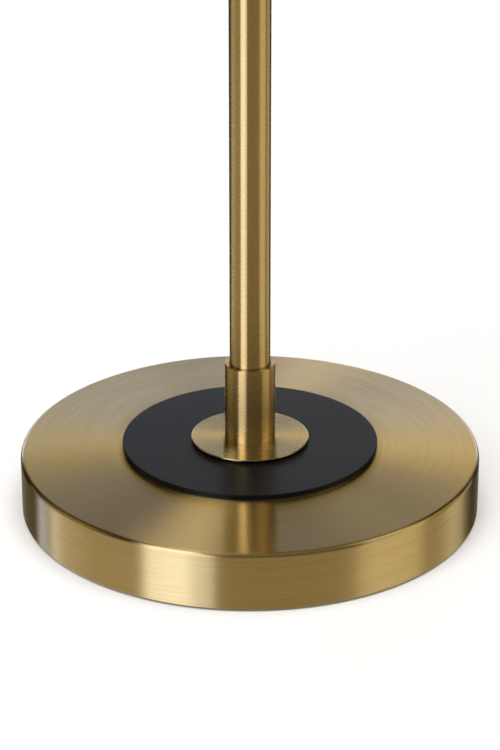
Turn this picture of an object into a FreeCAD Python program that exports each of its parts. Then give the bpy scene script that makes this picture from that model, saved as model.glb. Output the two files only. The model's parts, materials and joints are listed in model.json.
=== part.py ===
"""Arc floor lamp: a weighted round base, a two-piece pole, a swivelling arc arm and a dome shade that tilts.

Millimetres, +Z up. The origin is on the floor under the pole, the arm reaches out along +X at rest,
the mains inlet is at the back (+Y) and the tilt knob is at the front (-Y).
Each piece is one node, written to parts/NODE.step.
"""
import FreeCAD
import Part
import math
import os
from FreeCAD import Vector

# ---- driving dimensions -------------------------------------------------------------------------
# Base
BASE_DIAMETER = 285.0
BASE_EDGE_HEIGHT = 37.0
BASE_EDGE_RADIUS = 2.5
BASE_CROWN = 3.0
CROWN_MARGIN = 6.0
CROWN_BLEND = 200.0
SHELL_WALL = 1.2
PAD_THICKNESS = 2.0
PAD_PROUD = 1.0
PAD_INSET = 17.5
PLATE_THICKNESS = 1.2
RECESS_RADIUS = 32.0
RECESS_ROOF = 18.0
CHANNEL_WIDTH = 16.0
CHANNEL_ROOF = 20.0
PLATE_SCREWS = 3
PLATE_SCREW_CIRCLE = 100.0
PLATE_SCREW_RADIUS = 2.0
PLATE_SCREW_HEAD = 4.0
PLATE_SCREW_LENGTH = 14.0

# Discs and collars
ACCENT_DIAMETER = 158.4
ACCENT_THICKNESS = 3.0
ACCENT_EDGE = 0.5
FLANGE_DIAMETER = 73.0
FLANGE_THICKNESS = 2.3
FLANGE_LIP = 1.0
FLANGE_BOSS_DIAMETER = 62.0
COLLAR_WALL = 2.75
COLLAR_LENGTH = 49.5
COLLAR_EDGE = 0.4
GRUB_RADIUS = 2.0
GRUB_SOCKET = 2.0

# Tie stud and its fasteners
STUD_RADIUS = 5.0
STUD_BORE_RADIUS = 3.5
STUD_GRIP = 25.0
LOCKNUT_FLATS = 14.0
LOCKNUT_THICKNESS = 4.0
SPREAD_WASHER_RADIUS = 20.0
SPREAD_WASHER_THICKNESS = 2.0
LOCK_WASHER_RADIUS = 9.0
LOCK_WASHER_THICKNESS = 1.0

# Pole
POLE_DIAMETER = 25.0
POLE_WALL = 1.5
POLE_SECTION = 650.0
SEAM_CHAMFER = 0.35
PLUG_LENGTH = 30.0
JOINT_THREAD_RADIUS = 8.0
JOINT_BORE_RADIUS = 5.0

# Swivel in the top of the pole
HOUSING_LENGTH = 60.0
HOUSING_COUNTERBORE_DEPTH = 15.5
HOUSING_COUNTERBORE_RADIUS = 9.0
SPINDLE_RADIUS = 6.0
SPINDLE_BORE_RADIUS = 3.5
BUSH_WALL = 1.5
BUSH_FLANGE = 1.5
THRUST_WASHER = 1.0
CIRCLIP_THICKNESS = 1.0
CIRCLIP_GROOVE = 0.5
CIRCLIP_MOUTH = 4.0
STOP_PIN_RADIUS = 1.25
TOP_COLLAR_LIP = 13.0

# Arc arm
ARM_DIAMETER = 20.0
ARM_WALL = 1.5
ARC_RADIUS = 240.0
ARM_RISE = 94.0
ARM_DROP = 20.0
ARM_PLUG_DEPTH = 28.0

# Tilt knuckle
FORK_RADIUS = 12.0
FORK_LENGTH = 26.0
EAR_THICKNESS = 5.0
TONGUE_THICKNESS = 8.8
TONGUE_EYE_RADIUS = 10.5
PIVOT_RADIUS = 2.5
PIVOT_HEAD_RADIUS = 4.8
PIVOT_HEAD_HEIGHT = 2.4
PIVOT_HEAD_CROWN = 1.9
FRICTION_WASHER = 0.5
FRICTION_WASHER_RADIUS = 8.0
TONGUE_STEM_RADIUS = 7.0
TONGUE_BORE_RADIUS = 2.8
TONGUE_FLANGE_RADIUS = 12.0
TONGUE_FLANGE_THICKNESS = 4.0
PIVOT_TO_CUP = 30.0
KNOB_RADIUS = 8.0
KNOB_LENGTH = 12.0
KNOB_FLUTES = 24
KNOB_FLUTE_RADIUS = 0.6
KNOB_END_WALL = 1.5

# Lampholder cup, switch and lampholder
CUP_DIAMETER = 46.0
CUP_HEIGHT = 80.0
CUP_WALL = 1.2
CUP_EDGE_RADIUS = 4.0
SWITCH_DEPTH = 18.0
SWITCH_BODY_RADIUS = 8.0
SWITCH_NECK_RADIUS = 4.0
SWITCH_NECK_PROUD = 1.0
SWITCH_END_WALL = 2.0
SWITCH_SPINDLE_RADIUS = 2.0
SWITCH_NUT_RADIUS = 6.5
SWITCH_NUT_THICKNESS = 2.0
SWITCH_KNOB_RADIUS = 6.0
SWITCH_KNOB_LENGTH = 12.0
SWITCH_KNOB_WAIST = 2.4
HOLDER_RADIUS = 19.0
HOLDER_WALL = 2.5
HOLDER_DROP = 32.0
HOLDER_ROOF = 4.0
HOLDER_SKIRT = 12.0
HOLDER_FLANGE_THICKNESS = 2.5
CONTACT_BLOCK_THICKNESS = 10.0
TERMINAL_SPACE = 10.0
TERMINAL_SCREW_RADIUS = 2.2
TERMINAL_SCREW_HEIGHT = 3.0
TERMINAL_PITCH = 18.0
SCREW_SHELL_WALL = 0.5
CENTRE_CONTACT_RADIUS = 4.0
CENTRE_CONTACT_THICKNESS = 1.5
CENTRE_RIVET_RADIUS = 1.5
SHADE_RING_RADIUS = 27.0
SHADE_RING_THICKNESS = 6.0

# Shade
SHADE_DIAMETER = 300.0
SHADE_HEIGHT = 140.0
SHADE_WALL = 0.8
SHADE_LAND_RADIUS = 32.0
SHADE_BEAD_RADIUS = 1.3

# Bulb
BULB_LENGTH = 106.0
BULB_RADIUS = 30.0
BULB_NECK_RADIUS = 12.6
BULB_GLASS_WALL = 1.0
CAP_THREAD_RADIUS = 13.1
CAP_THREAD_DEPTH = 0.9
CAP_THREAD_PITCH = 3.6
CAP_TURNS = 5
CAP_WALL = 0.5
CAP_TIP_RADIUS = 4.5
CAP_TIP_HEIGHT = 1.2
CAP_INSULATOR_HEIGHT = 4.0

# Wiring
FLEX_RADIUS = 2.5
FLEX_BEND_RADIUS = 8.0
TERMINAL_BLOCK = (15.0, 20.0, 10.0)
TERMINAL_BLOCK_Y = 96.0
TERMINAL_WIRE_RADIUS = 1.4
TERMINAL_CLAMP_RADIUS = 1.7
INLET_RADIUS = 3.6
INLET_NECK_RADIUS = 5.0
INLET_FLANGE_RADIUS = 7.5
INLET_FLANGE_THICKNESS = 2.0
INLET_DEPTH = 8.0
INLET_BARB = 0.7
INLET_BARB_LENGTH = 2.5
INLET_SADDLE = 0.5
INLET_HEIGHT = 12.0

# Clearances, each on one side
SLIP = 0.1
PRESS_GAP = 0.05
RUNNING = 0.05
LOOSE = 0.4
SEAT_GAP = 0.3

# ---- worked-out places --------------------------------------------------------------------------
BASE_R = BASE_DIAMETER / 2
POLE_R = POLE_DIAMETER / 2
POLE_BORE_R = POLE_R - POLE_WALL
ARM_R = ARM_DIAMETER / 2
ARM_BORE_R = ARM_R - ARM_WALL
COLLAR_R = POLE_R + LOOSE + COLLAR_WALL
STUD_HOLE_R = STUD_RADIUS + LOOSE

PLATE_Z = PAD_THICKNESS
PLATE_TOP = PLATE_Z + PLATE_THICKNESS
BASE_TOP = BASE_EDGE_HEIGHT + BASE_CROWN
CROWN_R = ACCENT_DIAMETER / 2 + CROWN_MARGIN
WEIGHT_TOP = BASE_TOP - SHELL_WALL
WEIGHT_R = BASE_R - SHELL_WALL - LOOSE
RECESS_TOP = BASE_TOP - RECESS_ROOF
CHANNEL_TOP = BASE_TOP - CHANNEL_ROOF
ACCENT_TOP = BASE_TOP + ACCENT_THICKNESS
FLANGE_TOP = ACCENT_TOP + FLANGE_THICKNESS
POLE_BOTTOM = FLANGE_TOP
POLE_SEAM = POLE_BOTTOM + POLE_SECTION
POLE_TOP = POLE_SEAM + POLE_SECTION

SPREAD_WASHER_Z = RECESS_TOP - SPREAD_WASHER_THICKNESS
LOCK_WASHER_Z = SPREAD_WASHER_Z - LOCK_WASHER_THICKNESS
LOCKNUT_Z = LOCK_WASHER_Z - LOCKNUT_THICKNESS
STUD_BOTTOM = LOCKNUT_Z - 1.0
STUD_TOP = POLE_BOTTOM + STUD_GRIP

HOUSING_BOTTOM = POLE_TOP - HOUSING_LENGTH
HOUSING_STEP = HOUSING_BOTTOM + HOUSING_COUNTERBORE_DEPTH
BUSH_INNER_R = SPINDLE_RADIUS + RUNNING
BUSH_OUTER_R = BUSH_INNER_R + BUSH_WALL
BUSH_TOP = POLE_TOP + BUSH_FLANGE
WAVE_WASHER_Z = HOUSING_STEP - SLIP - THRUST_WASHER
THRUST_WASHER_Z = WAVE_WASHER_Z - SLIP - THRUST_WASHER
CIRCLIP_Z = THRUST_WASHER_Z - SLIP - CIRCLIP_THICKNESS
STOP_PIN_Z = CIRCLIP_Z - 2.5 * STOP_PIN_RADIUS
SPINDLE_BOTTOM = STOP_PIN_Z - 2.5 * STOP_PIN_RADIUS
STOP_PIN_TIP = HOUSING_COUNTERBORE_RADIUS - LOOSE
STOP_SCREW_TIP = SPINDLE_RADIUS + 1.0

ARM_BOTTOM = BUSH_TOP + SLIP
ARC_CENTRE_Z = ARM_BOTTOM + ARM_RISE
REACH = 2 * ARC_RADIUS
ARM_END_Z = ARC_CENTRE_Z - ARM_DROP
TOP_COLLAR_TOP = BUSH_TOP + SEAT_GAP + TOP_COLLAR_LIP
TOP_COLLAR_BOTTOM = TOP_COLLAR_TOP - COLLAR_LENGTH

PIVOT_Z = ARM_END_Z - FORK_LENGTH
SLOT_HALF = TONGUE_THICKNESS / 2 + FRICTION_WASHER + 2 * PRESS_GAP
EAR_OUTER = SLOT_HALF + EAR_THICKNESS
SLOT_TOP = PIVOT_Z + TONGUE_EYE_RADIUS + 1.0
CUP_TOP = PIVOT_Z - PIVOT_TO_CUP
CUP_BOTTOM = CUP_TOP - CUP_HEIGHT
CUP_R = CUP_DIAMETER / 2
SWITCH_Z = CUP_TOP - SWITCH_DEPTH
SWITCH_START = STUD_RADIUS + SEAT_GAP
SWITCH_NECK_END = CUP_R + SWITCH_NUT_THICKNESS + SWITCH_NECK_PROUD
HOLDER_TOP = CUP_TOP - HOLDER_DROP
HOLDER_BOTTOM = CUP_BOTTOM - HOLDER_SKIRT
HOLDER_ROOF_Z = HOLDER_TOP - HOLDER_ROOF
HOLDER_BORE_R = HOLDER_RADIUS - HOLDER_WALL
BLOCK_TOP = HOLDER_ROOF_Z - TERMINAL_SPACE
BLOCK_BOTTOM = BLOCK_TOP - CONTACT_BLOCK_THICKNESS
SPIGOT_BOTTOM = HOLDER_ROOF_Z
SHADE_TOP = CUP_BOTTOM
SHADE_R = SHADE_DIAMETER / 2
SHADE_MOUTH = SHADE_TOP - SHADE_HEIGHT
SHELL_BORE_R = CAP_THREAD_RADIUS + LOOSE
SHELL_FLANGE_Z = BLOCK_BOTTOM - SLIP - SCREW_SHELL_WALL
CENTRE_CONTACT_Z = BLOCK_BOTTOM - SLIP - CENTRE_CONTACT_THICKNESS
BULB_TOP = CENTRE_CONTACT_Z - SLIP
CAP_SHOULDER = BULB_TOP - CAP_TIP_HEIGHT - CAP_INSULATOR_HEIGHT
CAP_BOTTOM = CAP_SHOULDER - CAP_TURNS * CAP_THREAD_PITCH - 2.0
BULB_BOTTOM = BULB_TOP - BULB_LENGTH


# ---- shape helpers ------------------------------------------------------------------------------
def outline_wire(outline):
    """Closed wire in the XZ plane through (r, z) corners; a third number is that corner's radius."""
    corners = [Vector(p[0], 0, p[1]) for p in outline]
    radii = [p[2] if len(p) > 2 else 0.0 for p in outline]
    starts, ends, middles = [], [], []
    for i, corner in enumerate(corners):
        radius = radii[i]
        if not radius:
            starts.append(corner)
            ends.append(corner)
            middles.append(None)
            continue
        back = (corners[i - 1] - corner).normalize()
        ahead = (corners[(i + 1) % len(corners)] - corner).normalize()
        half = back.getAngle(ahead) / 2
        reach = radius / math.tan(half)
        bisector = (back + ahead).normalize()
        starts.append(corner + back * reach)
        ends.append(corner + ahead * reach)
        middles.append(corner + bisector * (radius / math.sin(half) - radius))
    edges = []
    for i in range(len(corners)):
        if middles[i]:
            edges.append(Part.Arc(starts[i], middles[i], ends[i]).toShape())
        after = starts[(i + 1) % len(corners)]
        if (after - ends[i]).Length > 1e-6:
            edges.append(Part.LineSegment(ends[i], after).toShape())
    return Part.Wire(edges)


def lathe(outline, x=0.0):
    """Solid turned about the vertical axis through (x, 0)."""
    face = Part.Face(outline_wire(outline))
    solid = face.revolve(Vector(0, 0, 0), Vector(0, 0, 1), 360)
    return solid.translated(Vector(x, 0, 0))


def along_y(shape, z, x=0.0, backwards=False):
    """Turns a shape made about Z so that its axis points along +Y, or -Y, at height z."""
    turn = 90 if backwards else -90
    return shape.rotated(Vector(0, 0, 0), Vector(1, 0, 0), turn).translated(Vector(x, 0, z))


def along_x(shape, z, x=0.0):
    """Turns a shape made about Z so that its axis points along +X, at height z."""
    return shape.rotated(Vector(0, 0, 0), Vector(0, 1, 0), 90).translated(Vector(x, 0, z))


def rod(radius, z0, z1, x=0.0, y=0.0):
    return Part.makeCylinder(radius, z1 - z0, Vector(x, y, z0))


def ring(outer, inner, z0, z1, x=0.0):
    return rod(outer, z0, z1, x).cut(rod(inner, z0 - 1, z1 + 1, x))


def hex_nut(flats, bore, z0, z1, x=0.0):
    """Hexagonal nut with its bore upright."""
    corner = flats / math.sqrt(3)
    points = [Vector(x + corner * math.cos(a), corner * math.sin(a), z0)
              for a in (math.radians(60 * i) for i in range(7))]
    blank = Part.Face(Part.makePolygon(points)).extrude(Vector(0, 0, z1 - z0))
    return blank.cut(rod(bore, z0 - 1, z1 + 1, x))


def grub_screw(seat_r, face_r, z):
    """Socket screw pointing at the pole from the back, from its seat to just under a collar's face."""
    length = face_r - SEAT_GAP - seat_r
    body = rod(GRUB_RADIUS, 0, length)
    socket = hex_nut(GRUB_SOCKET, 0.01, length - GRUB_SOCKET, length + 1)
    return along_y(body.cut(socket), z).translated(Vector(0, seat_r, 0))


def one_solid(shape):
    return shape.removeSplitter().Solids[0]


# ---- base ---------------------------------------------------------------------------------------
def plate_screw_places():
    """Screw centres, a third of a turn apart and clear of the wiring channel at the back."""
    for i in range(PLATE_SCREWS):
        angle = math.radians(-90 + 360 * i / PLATE_SCREWS)
        yield PLATE_SCREW_CIRCLE * math.cos(angle), PLATE_SCREW_CIRCLE * math.sin(angle)


def plate_screw(grow=0.0):
    """Countersunk screw on the Z axis, or the space that one needs."""
    head, shank = PLATE_SCREW_HEAD + grow, PLATE_SCREW_RADIUS + grow
    neck = PLATE_Z + head - shank
    tip = PLATE_Z + PLATE_SCREW_LENGTH + grow
    return lathe([(0, PLATE_Z), (head, PLATE_Z), (shank, neck), (shank, tip), (0, tip)])


def base_shell():
    """Spun cup with a flat centre, from which the top falls a little towards the rounded edge."""
    inner_edge = BASE_EDGE_RADIUS - SHELL_WALL
    inner_r = BASE_R - SHELL_WALL
    inner_edge_z = BASE_EDGE_HEIGHT - SHELL_WALL
    shell = lathe([
        (STUD_HOLE_R, BASE_TOP), (CROWN_R, BASE_TOP, CROWN_BLEND),
        (BASE_R, BASE_EDGE_HEIGHT, BASE_EDGE_RADIUS), (BASE_R, PAD_PROUD),
        (inner_r, PAD_PROUD), (inner_r, inner_edge_z, inner_edge),
        (CROWN_R, WEIGHT_TOP, CROWN_BLEND), (STUD_HOLE_R, WEIGHT_TOP),
    ])
    inlet = along_y(rod(INLET_NECK_RADIUS + SLIP, 0, BASE_DIAMETER), INLET_HEIGHT)
    return shell.cut(inlet)


def base_weight():
    """Cast iron ballast, open below for the stud's nut and for the wiring."""
    edge_z = BASE_EDGE_HEIGHT - SHELL_WALL - SEAT_GAP
    weight = lathe([
        (0, PLATE_TOP), (WEIGHT_R, PLATE_TOP), (WEIGHT_R, edge_z, BASE_EDGE_RADIUS),
        (CROWN_R, WEIGHT_TOP, CROWN_BLEND), (0, WEIGHT_TOP),
    ])
    weight = weight.cut(rod(STUD_HOLE_R, 0, BASE_TOP))
    weight = weight.cut(rod(RECESS_RADIUS, 0, RECESS_TOP))
    channel = Part.makeBox(CHANNEL_WIDTH, BASE_R, CHANNEL_TOP, Vector(-CHANNEL_WIDTH / 2, 0, 0))
    weight = weight.cut(channel)
    for x, y in plate_screw_places():
        weight = weight.cut(plate_screw(SLIP).translated(Vector(x, y, 0)))
    return weight


def base_plate():
    plate = rod(BASE_R - SHELL_WALL - SEAT_GAP, PLATE_Z, PLATE_TOP)
    for x, y in plate_screw_places():
        plate = plate.cut(plate_screw(SLIP).translated(Vector(x, y, 0)))
    return plate


def base_plate_screws():
    slot = Part.makeBox(2 * PLATE_SCREW_HEAD, 1.0, 1.0, Vector(-PLATE_SCREW_HEAD, -0.5, PLATE_Z - 0.2))
    screw = plate_screw().cut(slot)
    return Part.makeCompound([screw.translated(Vector(x, y, 0)) for x, y in plate_screw_places()])


def base_pad():
    return rod(BASE_R - PAD_INSET, 0, PAD_THICKNESS)


def accent_disc():
    r = ACCENT_DIAMETER / 2
    return lathe([
        (STUD_HOLE_R, BASE_TOP), (r, BASE_TOP), (r, ACCENT_TOP, ACCENT_EDGE), (STUD_HOLE_R, ACCENT_TOP),
    ])


def pole_flange():
    """Turned disc whose thin lip stands off the accent disc."""
    lip_z = FLANGE_TOP - FLANGE_LIP
    boss, lip = FLANGE_BOSS_DIAMETER / 2, FLANGE_DIAMETER / 2
    return lathe([
        (STUD_HOLE_R, ACCENT_TOP), (boss, ACCENT_TOP), (boss, lip_z), (lip, lip_z),
        (lip, FLANGE_TOP, COLLAR_EDGE), (STUD_HOLE_R, FLANGE_TOP),
    ])


def base_collar():
    bore = POLE_R + LOOSE
    top = FLANGE_TOP + COLLAR_LENGTH
    collar = lathe([
        (bore, FLANGE_TOP), (COLLAR_R, FLANGE_TOP), (COLLAR_R, top, COLLAR_EDGE), (bore, top, COLLAR_EDGE),
    ])
    return collar.cut(along_y(rod(GRUB_RADIUS + SLIP, 0, BASE_R), base_grub_z()))


def base_grub_z():
    return FLANGE_TOP + COLLAR_LENGTH / 4


def base_collar_screw():
    return grub_screw(POLE_R + PRESS_GAP, COLLAR_R, base_grub_z())


def tie_stud():
    return ring(STUD_RADIUS, STUD_BORE_RADIUS, STUD_BOTTOM, STUD_TOP)


def spread_washer():
    return ring(SPREAD_WASHER_RADIUS, STUD_RADIUS + SLIP, SPREAD_WASHER_Z, RECESS_TOP)


def tie_lock_washer():
    """Internal-tooth washer: a ring with short teeth that reach in to the stud."""
    outer, root = LOCK_WASHER_RADIUS, LOCK_WASHER_RADIUS - 2.0
    washer = ring(outer, root, LOCK_WASHER_Z, SPREAD_WASHER_Z)
    inner = STUD_RADIUS + SLIP
    tooth = Part.makeBox(root - inner + 0.5, 1.6, LOCK_WASHER_THICKNESS, Vector(inner, -0.8, LOCK_WASHER_Z))
    for i in range(8):
        washer = washer.fuse(tooth.rotated(Vector(0, 0, 0), Vector(0, 0, 1), 45 * i))
    return one_solid(washer.cut(rod(inner, 0, BASE_TOP)))


def tie_locknut():
    return hex_nut(LOCKNUT_FLATS, STUD_RADIUS + SLIP, LOCKNUT_Z, LOCK_WASHER_Z)


# ---- pole ---------------------------------------------------------------------------------------
def pole_foot_plug():
    return ring(POLE_BORE_R - PRESS_GAP, STUD_RADIUS + SLIP, POLE_BOTTOM, POLE_BOTTOM + PLUG_LENGTH)


def pole_lower():
    c = SEAM_CHAMFER
    return lathe([
        (POLE_BORE_R, POLE_BOTTOM), (POLE_R, POLE_BOTTOM), (POLE_R, POLE_SEAM - c),
        (POLE_R - c, POLE_SEAM), (POLE_BORE_R, POLE_SEAM),
    ])


def pole_joint_socket():
    """Threaded insert in the top of the lower pole."""
    return ring(POLE_BORE_R - PRESS_GAP, JOINT_THREAD_RADIUS + SLIP, POLE_SEAM - PLUG_LENGTH, POLE_SEAM - SLIP)


def pole_joint_spigot():
    """Insert in the foot of the upper pole, whose thread screws down into the socket."""
    thread_foot = POLE_SEAM - PLUG_LENGTH + 2.0
    body_top = POLE_SEAM + PLUG_LENGTH
    body_r = POLE_BORE_R - PRESS_GAP
    return lathe([
        (JOINT_BORE_RADIUS, thread_foot), (JOINT_THREAD_RADIUS, thread_foot, 0.8),
        (JOINT_THREAD_RADIUS, POLE_SEAM), (body_r, POLE_SEAM), (body_r, body_top),
        (JOINT_BORE_RADIUS, body_top),
    ])


def pole_upper():
    c = SEAM_CHAMFER
    return lathe([
        (POLE_BORE_R, POLE_SEAM), (POLE_R - c, POLE_SEAM), (POLE_R, POLE_SEAM + c),
        (POLE_R, POLE_TOP), (POLE_BORE_R, POLE_TOP),
    ])


# ---- swivel -------------------------------------------------------------------------------------
def swivel_housing():
    outer = POLE_BORE_R - PRESS_GAP
    bore = BUSH_OUTER_R + PRESS_GAP
    housing = lathe([
        (HOUSING_COUNTERBORE_RADIUS, HOUSING_BOTTOM), (outer, HOUSING_BOTTOM), (outer, POLE_TOP),
        (bore, POLE_TOP), (bore, HOUSING_STEP), (HOUSING_COUNTERBORE_RADIUS, HOUSING_STEP),
    ])
    hole = rod(STOP_PIN_RADIUS + PRESS_GAP, 0, POLE_R)
    return housing.cut(along_x(hole, STOP_PIN_Z).rotated(Vector(0, 0, 0), Vector(0, 0, 1), 180))


def swivel_bush():
    """Flanged nylon bush that carries the arm on the pole's rim."""
    return lathe([
        (BUSH_INNER_R, HOUSING_STEP), (BUSH_OUTER_R, HOUSING_STEP), (BUSH_OUTER_R, POLE_TOP),
        (POLE_R, POLE_TOP), (POLE_R, BUSH_TOP), (BUSH_INNER_R, BUSH_TOP),
    ])


def swivel_wave_washer():
    return ring(HOUSING_COUNTERBORE_RADIUS - SEAT_GAP, SPINDLE_RADIUS + SLIP,
                WAVE_WASHER_Z, WAVE_WASHER_Z + THRUST_WASHER)


def swivel_thrust_washer():
    return ring(HOUSING_COUNTERBORE_RADIUS - SEAT_GAP, SPINDLE_RADIUS + SLIP,
                THRUST_WASHER_Z, THRUST_WASHER_Z + THRUST_WASHER)


def swivel_circlip():
    """Open retaining ring in the spindle's groove."""
    inner = SPINDLE_RADIUS - CIRCLIP_GROOVE + PRESS_GAP
    clip = ring(HOUSING_COUNTERBORE_RADIUS - LOOSE, inner, CIRCLIP_Z, CIRCLIP_Z + CIRCLIP_THICKNESS)
    mouth = Part.makeBox(CIRCLIP_MOUTH, HOUSING_COUNTERBORE_RADIUS, CIRCLIP_THICKNESS,
                         Vector(-CIRCLIP_MOUTH / 2, 0, CIRCLIP_Z))
    return clip.cut(mouth)


def swivel_stop_screw():
    """Set screw in the housing wall that the arm's stop pin meets at each end of its turn."""
    screw = rod(STOP_PIN_RADIUS, STOP_SCREW_TIP, POLE_BORE_R - SLIP)
    return along_x(screw, STOP_PIN_Z).rotated(Vector(0, 0, 0), Vector(0, 0, 1), 180)


def top_collar():
    bore, lip_bore = POLE_R + LOOSE, ARM_R + LOOSE
    lip_z = BUSH_TOP + SEAT_GAP
    collar = lathe([
        (bore, TOP_COLLAR_BOTTOM, COLLAR_EDGE), (COLLAR_R, TOP_COLLAR_BOTTOM, COLLAR_EDGE),
        (COLLAR_R, TOP_COLLAR_TOP, COLLAR_EDGE), (lip_bore, TOP_COLLAR_TOP, COLLAR_EDGE),
        (lip_bore, lip_z), (bore, lip_z),
    ])
    return collar.cut(along_y(rod(GRUB_RADIUS + SLIP, 0, BASE_R), top_grub_z()))


def top_grub_z():
    return TOP_COLLAR_BOTTOM + COLLAR_LENGTH / 4


def top_collar_screw():
    return grub_screw(POLE_R + PRESS_GAP, COLLAR_R, top_grub_z())


# ---- arm ----------------------------------------------------------------------------------------
def bent_rod(radius, z_foot, z_tip):
    """Round bar that rises on the pole's axis, goes over the half circle and comes down at the reach."""
    foot = rod(radius, z_foot, ARC_CENTRE_Z)
    section = Part.Face(Part.Wire(Part.makeCircle(radius, Vector(0, 0, ARC_CENTRE_Z), Vector(0, 0, 1))))
    arc = section.revolve(Vector(ARC_RADIUS, 0, ARC_CENTRE_Z), Vector(0, 1, 0), 180)
    drop = rod(radius, z_tip, ARC_CENTRE_Z, REACH)
    return one_solid(foot.fuse([arc, drop]))


def arc_arm():
    return bent_rod(ARM_R, ARM_BOTTOM, ARM_END_Z).cut(bent_rod(ARM_BORE_R, ARM_BOTTOM - 1, ARM_END_Z - 1))


def arm_spindle():
    """Hollow spindle that turns in the bush, with its upper end fixed in the arm."""
    top = ARM_BOTTOM + ARM_PLUG_DEPTH
    plug_r = ARM_BORE_R - PRESS_GAP
    groove_r = SPINDLE_RADIUS - CIRCLIP_GROOVE
    groove_z = CIRCLIP_Z - PRESS_GAP
    groove_top = CIRCLIP_Z + CIRCLIP_THICKNESS + PRESS_GAP
    spindle = lathe([
        (SPINDLE_BORE_RADIUS, SPINDLE_BOTTOM), (SPINDLE_RADIUS, SPINDLE_BOTTOM), (SPINDLE_RADIUS, groove_z),
        (groove_r, groove_z), (groove_r, groove_top), (SPINDLE_RADIUS, groove_top),
        (SPINDLE_RADIUS, ARM_BOTTOM), (plug_r, ARM_BOTTOM), (plug_r, top), (SPINDLE_BORE_RADIUS, top),
    ])
    return spindle.cut(along_x(rod(STOP_PIN_RADIUS + PRESS_GAP, 0, POLE_R), STOP_PIN_Z))


def arm_stop_pin():
    return along_x(rod(STOP_PIN_RADIUS, SPINDLE_BORE_RADIUS + SLIP, STOP_PIN_TIP), STOP_PIN_Z)


def knuckle_fork():
    """Two-eared fork plugged into the arm's end, with flats for the bolt head and the knob."""
    shank = rod(FORK_RADIUS, PIVOT_Z, ARM_END_Z, REACH)
    ears = rod(FORK_RADIUS, PIVOT_Z - FORK_RADIUS, PIVOT_Z, REACH)
    rounded = along_y(rod(FORK_RADIUS, -FORK_RADIUS, FORK_RADIUS), PIVOT_Z, REACH)
    plug = rod(ARM_BORE_R - PRESS_GAP, ARM_END_Z, ARM_END_Z + ARM_PLUG_DEPTH / 2, REACH)
    fork = shank.fuse([ears.common(rounded), plug])
    low = PIVOT_Z - FORK_RADIUS - 1
    tall = SLOT_TOP - low
    wide = 2 * FORK_RADIUS + 2
    fork = fork.cut(Part.makeBox(wide, 2 * SLOT_HALF, tall, Vector(REACH - wide / 2, -SLOT_HALF, low)))
    for side in (EAR_OUTER, -EAR_OUTER - wide):
        fork = fork.cut(Part.makeBox(wide, wide, tall, Vector(REACH - wide / 2, side, low)))
    fork = fork.cut(along_y(rod(PIVOT_RADIUS + RUNNING, -wide, wide), PIVOT_Z, REACH))
    fork = fork.cut(rod(SPINDLE_BORE_RADIUS, PIVOT_Z, ARM_END_Z + ARM_PLUG_DEPTH, REACH))
    return one_solid(fork)


def pivot_bolt():
    """Round-headed bolt, headed at the back, that runs through the ears and the tongue to the knob."""
    tip = EAR_OUTER + SEAT_GAP + KNOB_LENGTH - KNOB_END_WALL - SEAT_GAP
    head_z = EAR_OUTER + PRESS_GAP
    crown = head_z + PIVOT_HEAD_HEIGHT
    bolt = lathe([
        (0, -tip), (PIVOT_RADIUS, -tip, 0.4), (PIVOT_RADIUS, head_z), (PIVOT_HEAD_RADIUS, head_z),
        (PIVOT_HEAD_RADIUS, crown, PIVOT_HEAD_CROWN), (0, crown),
    ])
    return along_y(bolt, PIVOT_Z, REACH)


def friction_washers():
    gap = TONGUE_THICKNESS / 2 + PRESS_GAP
    near = ring(FRICTION_WASHER_RADIUS, PIVOT_RADIUS + RUNNING, gap, gap + FRICTION_WASHER)
    return Part.makeCompound([along_y(near, PIVOT_Z, REACH), along_y(near, PIVOT_Z, REACH, True)])


def tilt_knob():
    """Knurled clamp knob at the front of the knuckle."""
    near = EAR_OUTER + SEAT_GAP
    far = near + KNOB_LENGTH
    knob = lathe([
        (0, near), (KNOB_RADIUS, near, 0.6), (KNOB_RADIUS, far, 1.2), (0, far),
    ])
    flute = rod(KNOB_FLUTE_RADIUS, near - 1, far + 1, KNOB_RADIUS)
    for i in range(KNOB_FLUTES):
        knob = knob.cut(flute.rotated(Vector(0, 0, 0), Vector(0, 0, 1), 360 * i / KNOB_FLUTES))
    knob = knob.cut(rod(PIVOT_RADIUS + RUNNING, near - 1, far - KNOB_END_WALL))
    return along_y(knob, PIVOT_Z, REACH, True)


# ---- head ---------------------------------------------------------------------------------------
def knuckle_tongue():
    """Eye, stem and flange in one turned piece, with a threaded tube that carries the cup and lampholder."""
    half = TONGUE_THICKNESS / 2
    eye = along_y(rod(TONGUE_EYE_RADIUS, -half, half), PIVOT_Z, REACH)
    stem_top = PIVOT_Z - FORK_RADIUS - 0.5
    web = Part.makeBox(2 * TONGUE_STEM_RADIUS, TONGUE_THICKNESS, PIVOT_Z - stem_top,
                       Vector(REACH - TONGUE_STEM_RADIUS, -half, stem_top))
    flange_top = CUP_TOP + TONGUE_FLANGE_THICKNESS
    turned = lathe([
        (0, SPIGOT_BOTTOM), (STUD_RADIUS, SPIGOT_BOTTOM), (STUD_RADIUS, CUP_TOP),
        (TONGUE_FLANGE_RADIUS, CUP_TOP), (TONGUE_FLANGE_RADIUS, flange_top, 1.0),
        (TONGUE_STEM_RADIUS, flange_top), (TONGUE_STEM_RADIUS, stem_top), (0, stem_top),
    ], REACH)
    tongue = eye.fuse([web, turned])
    tongue = tongue.cut(along_y(rod(PIVOT_RADIUS + RUNNING, -FORK_RADIUS, FORK_RADIUS), PIVOT_Z, REACH))
    tongue = tongue.cut(rod(TONGUE_BORE_RADIUS, SPIGOT_BOTTOM - 1, flex_head_top(), REACH))
    return one_solid(tongue)


def flex_head_top():
    """Top of the wiring bore in the tongue, just under the pivot."""
    return PIVOT_Z - 2 * PIVOT_RADIUS


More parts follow.
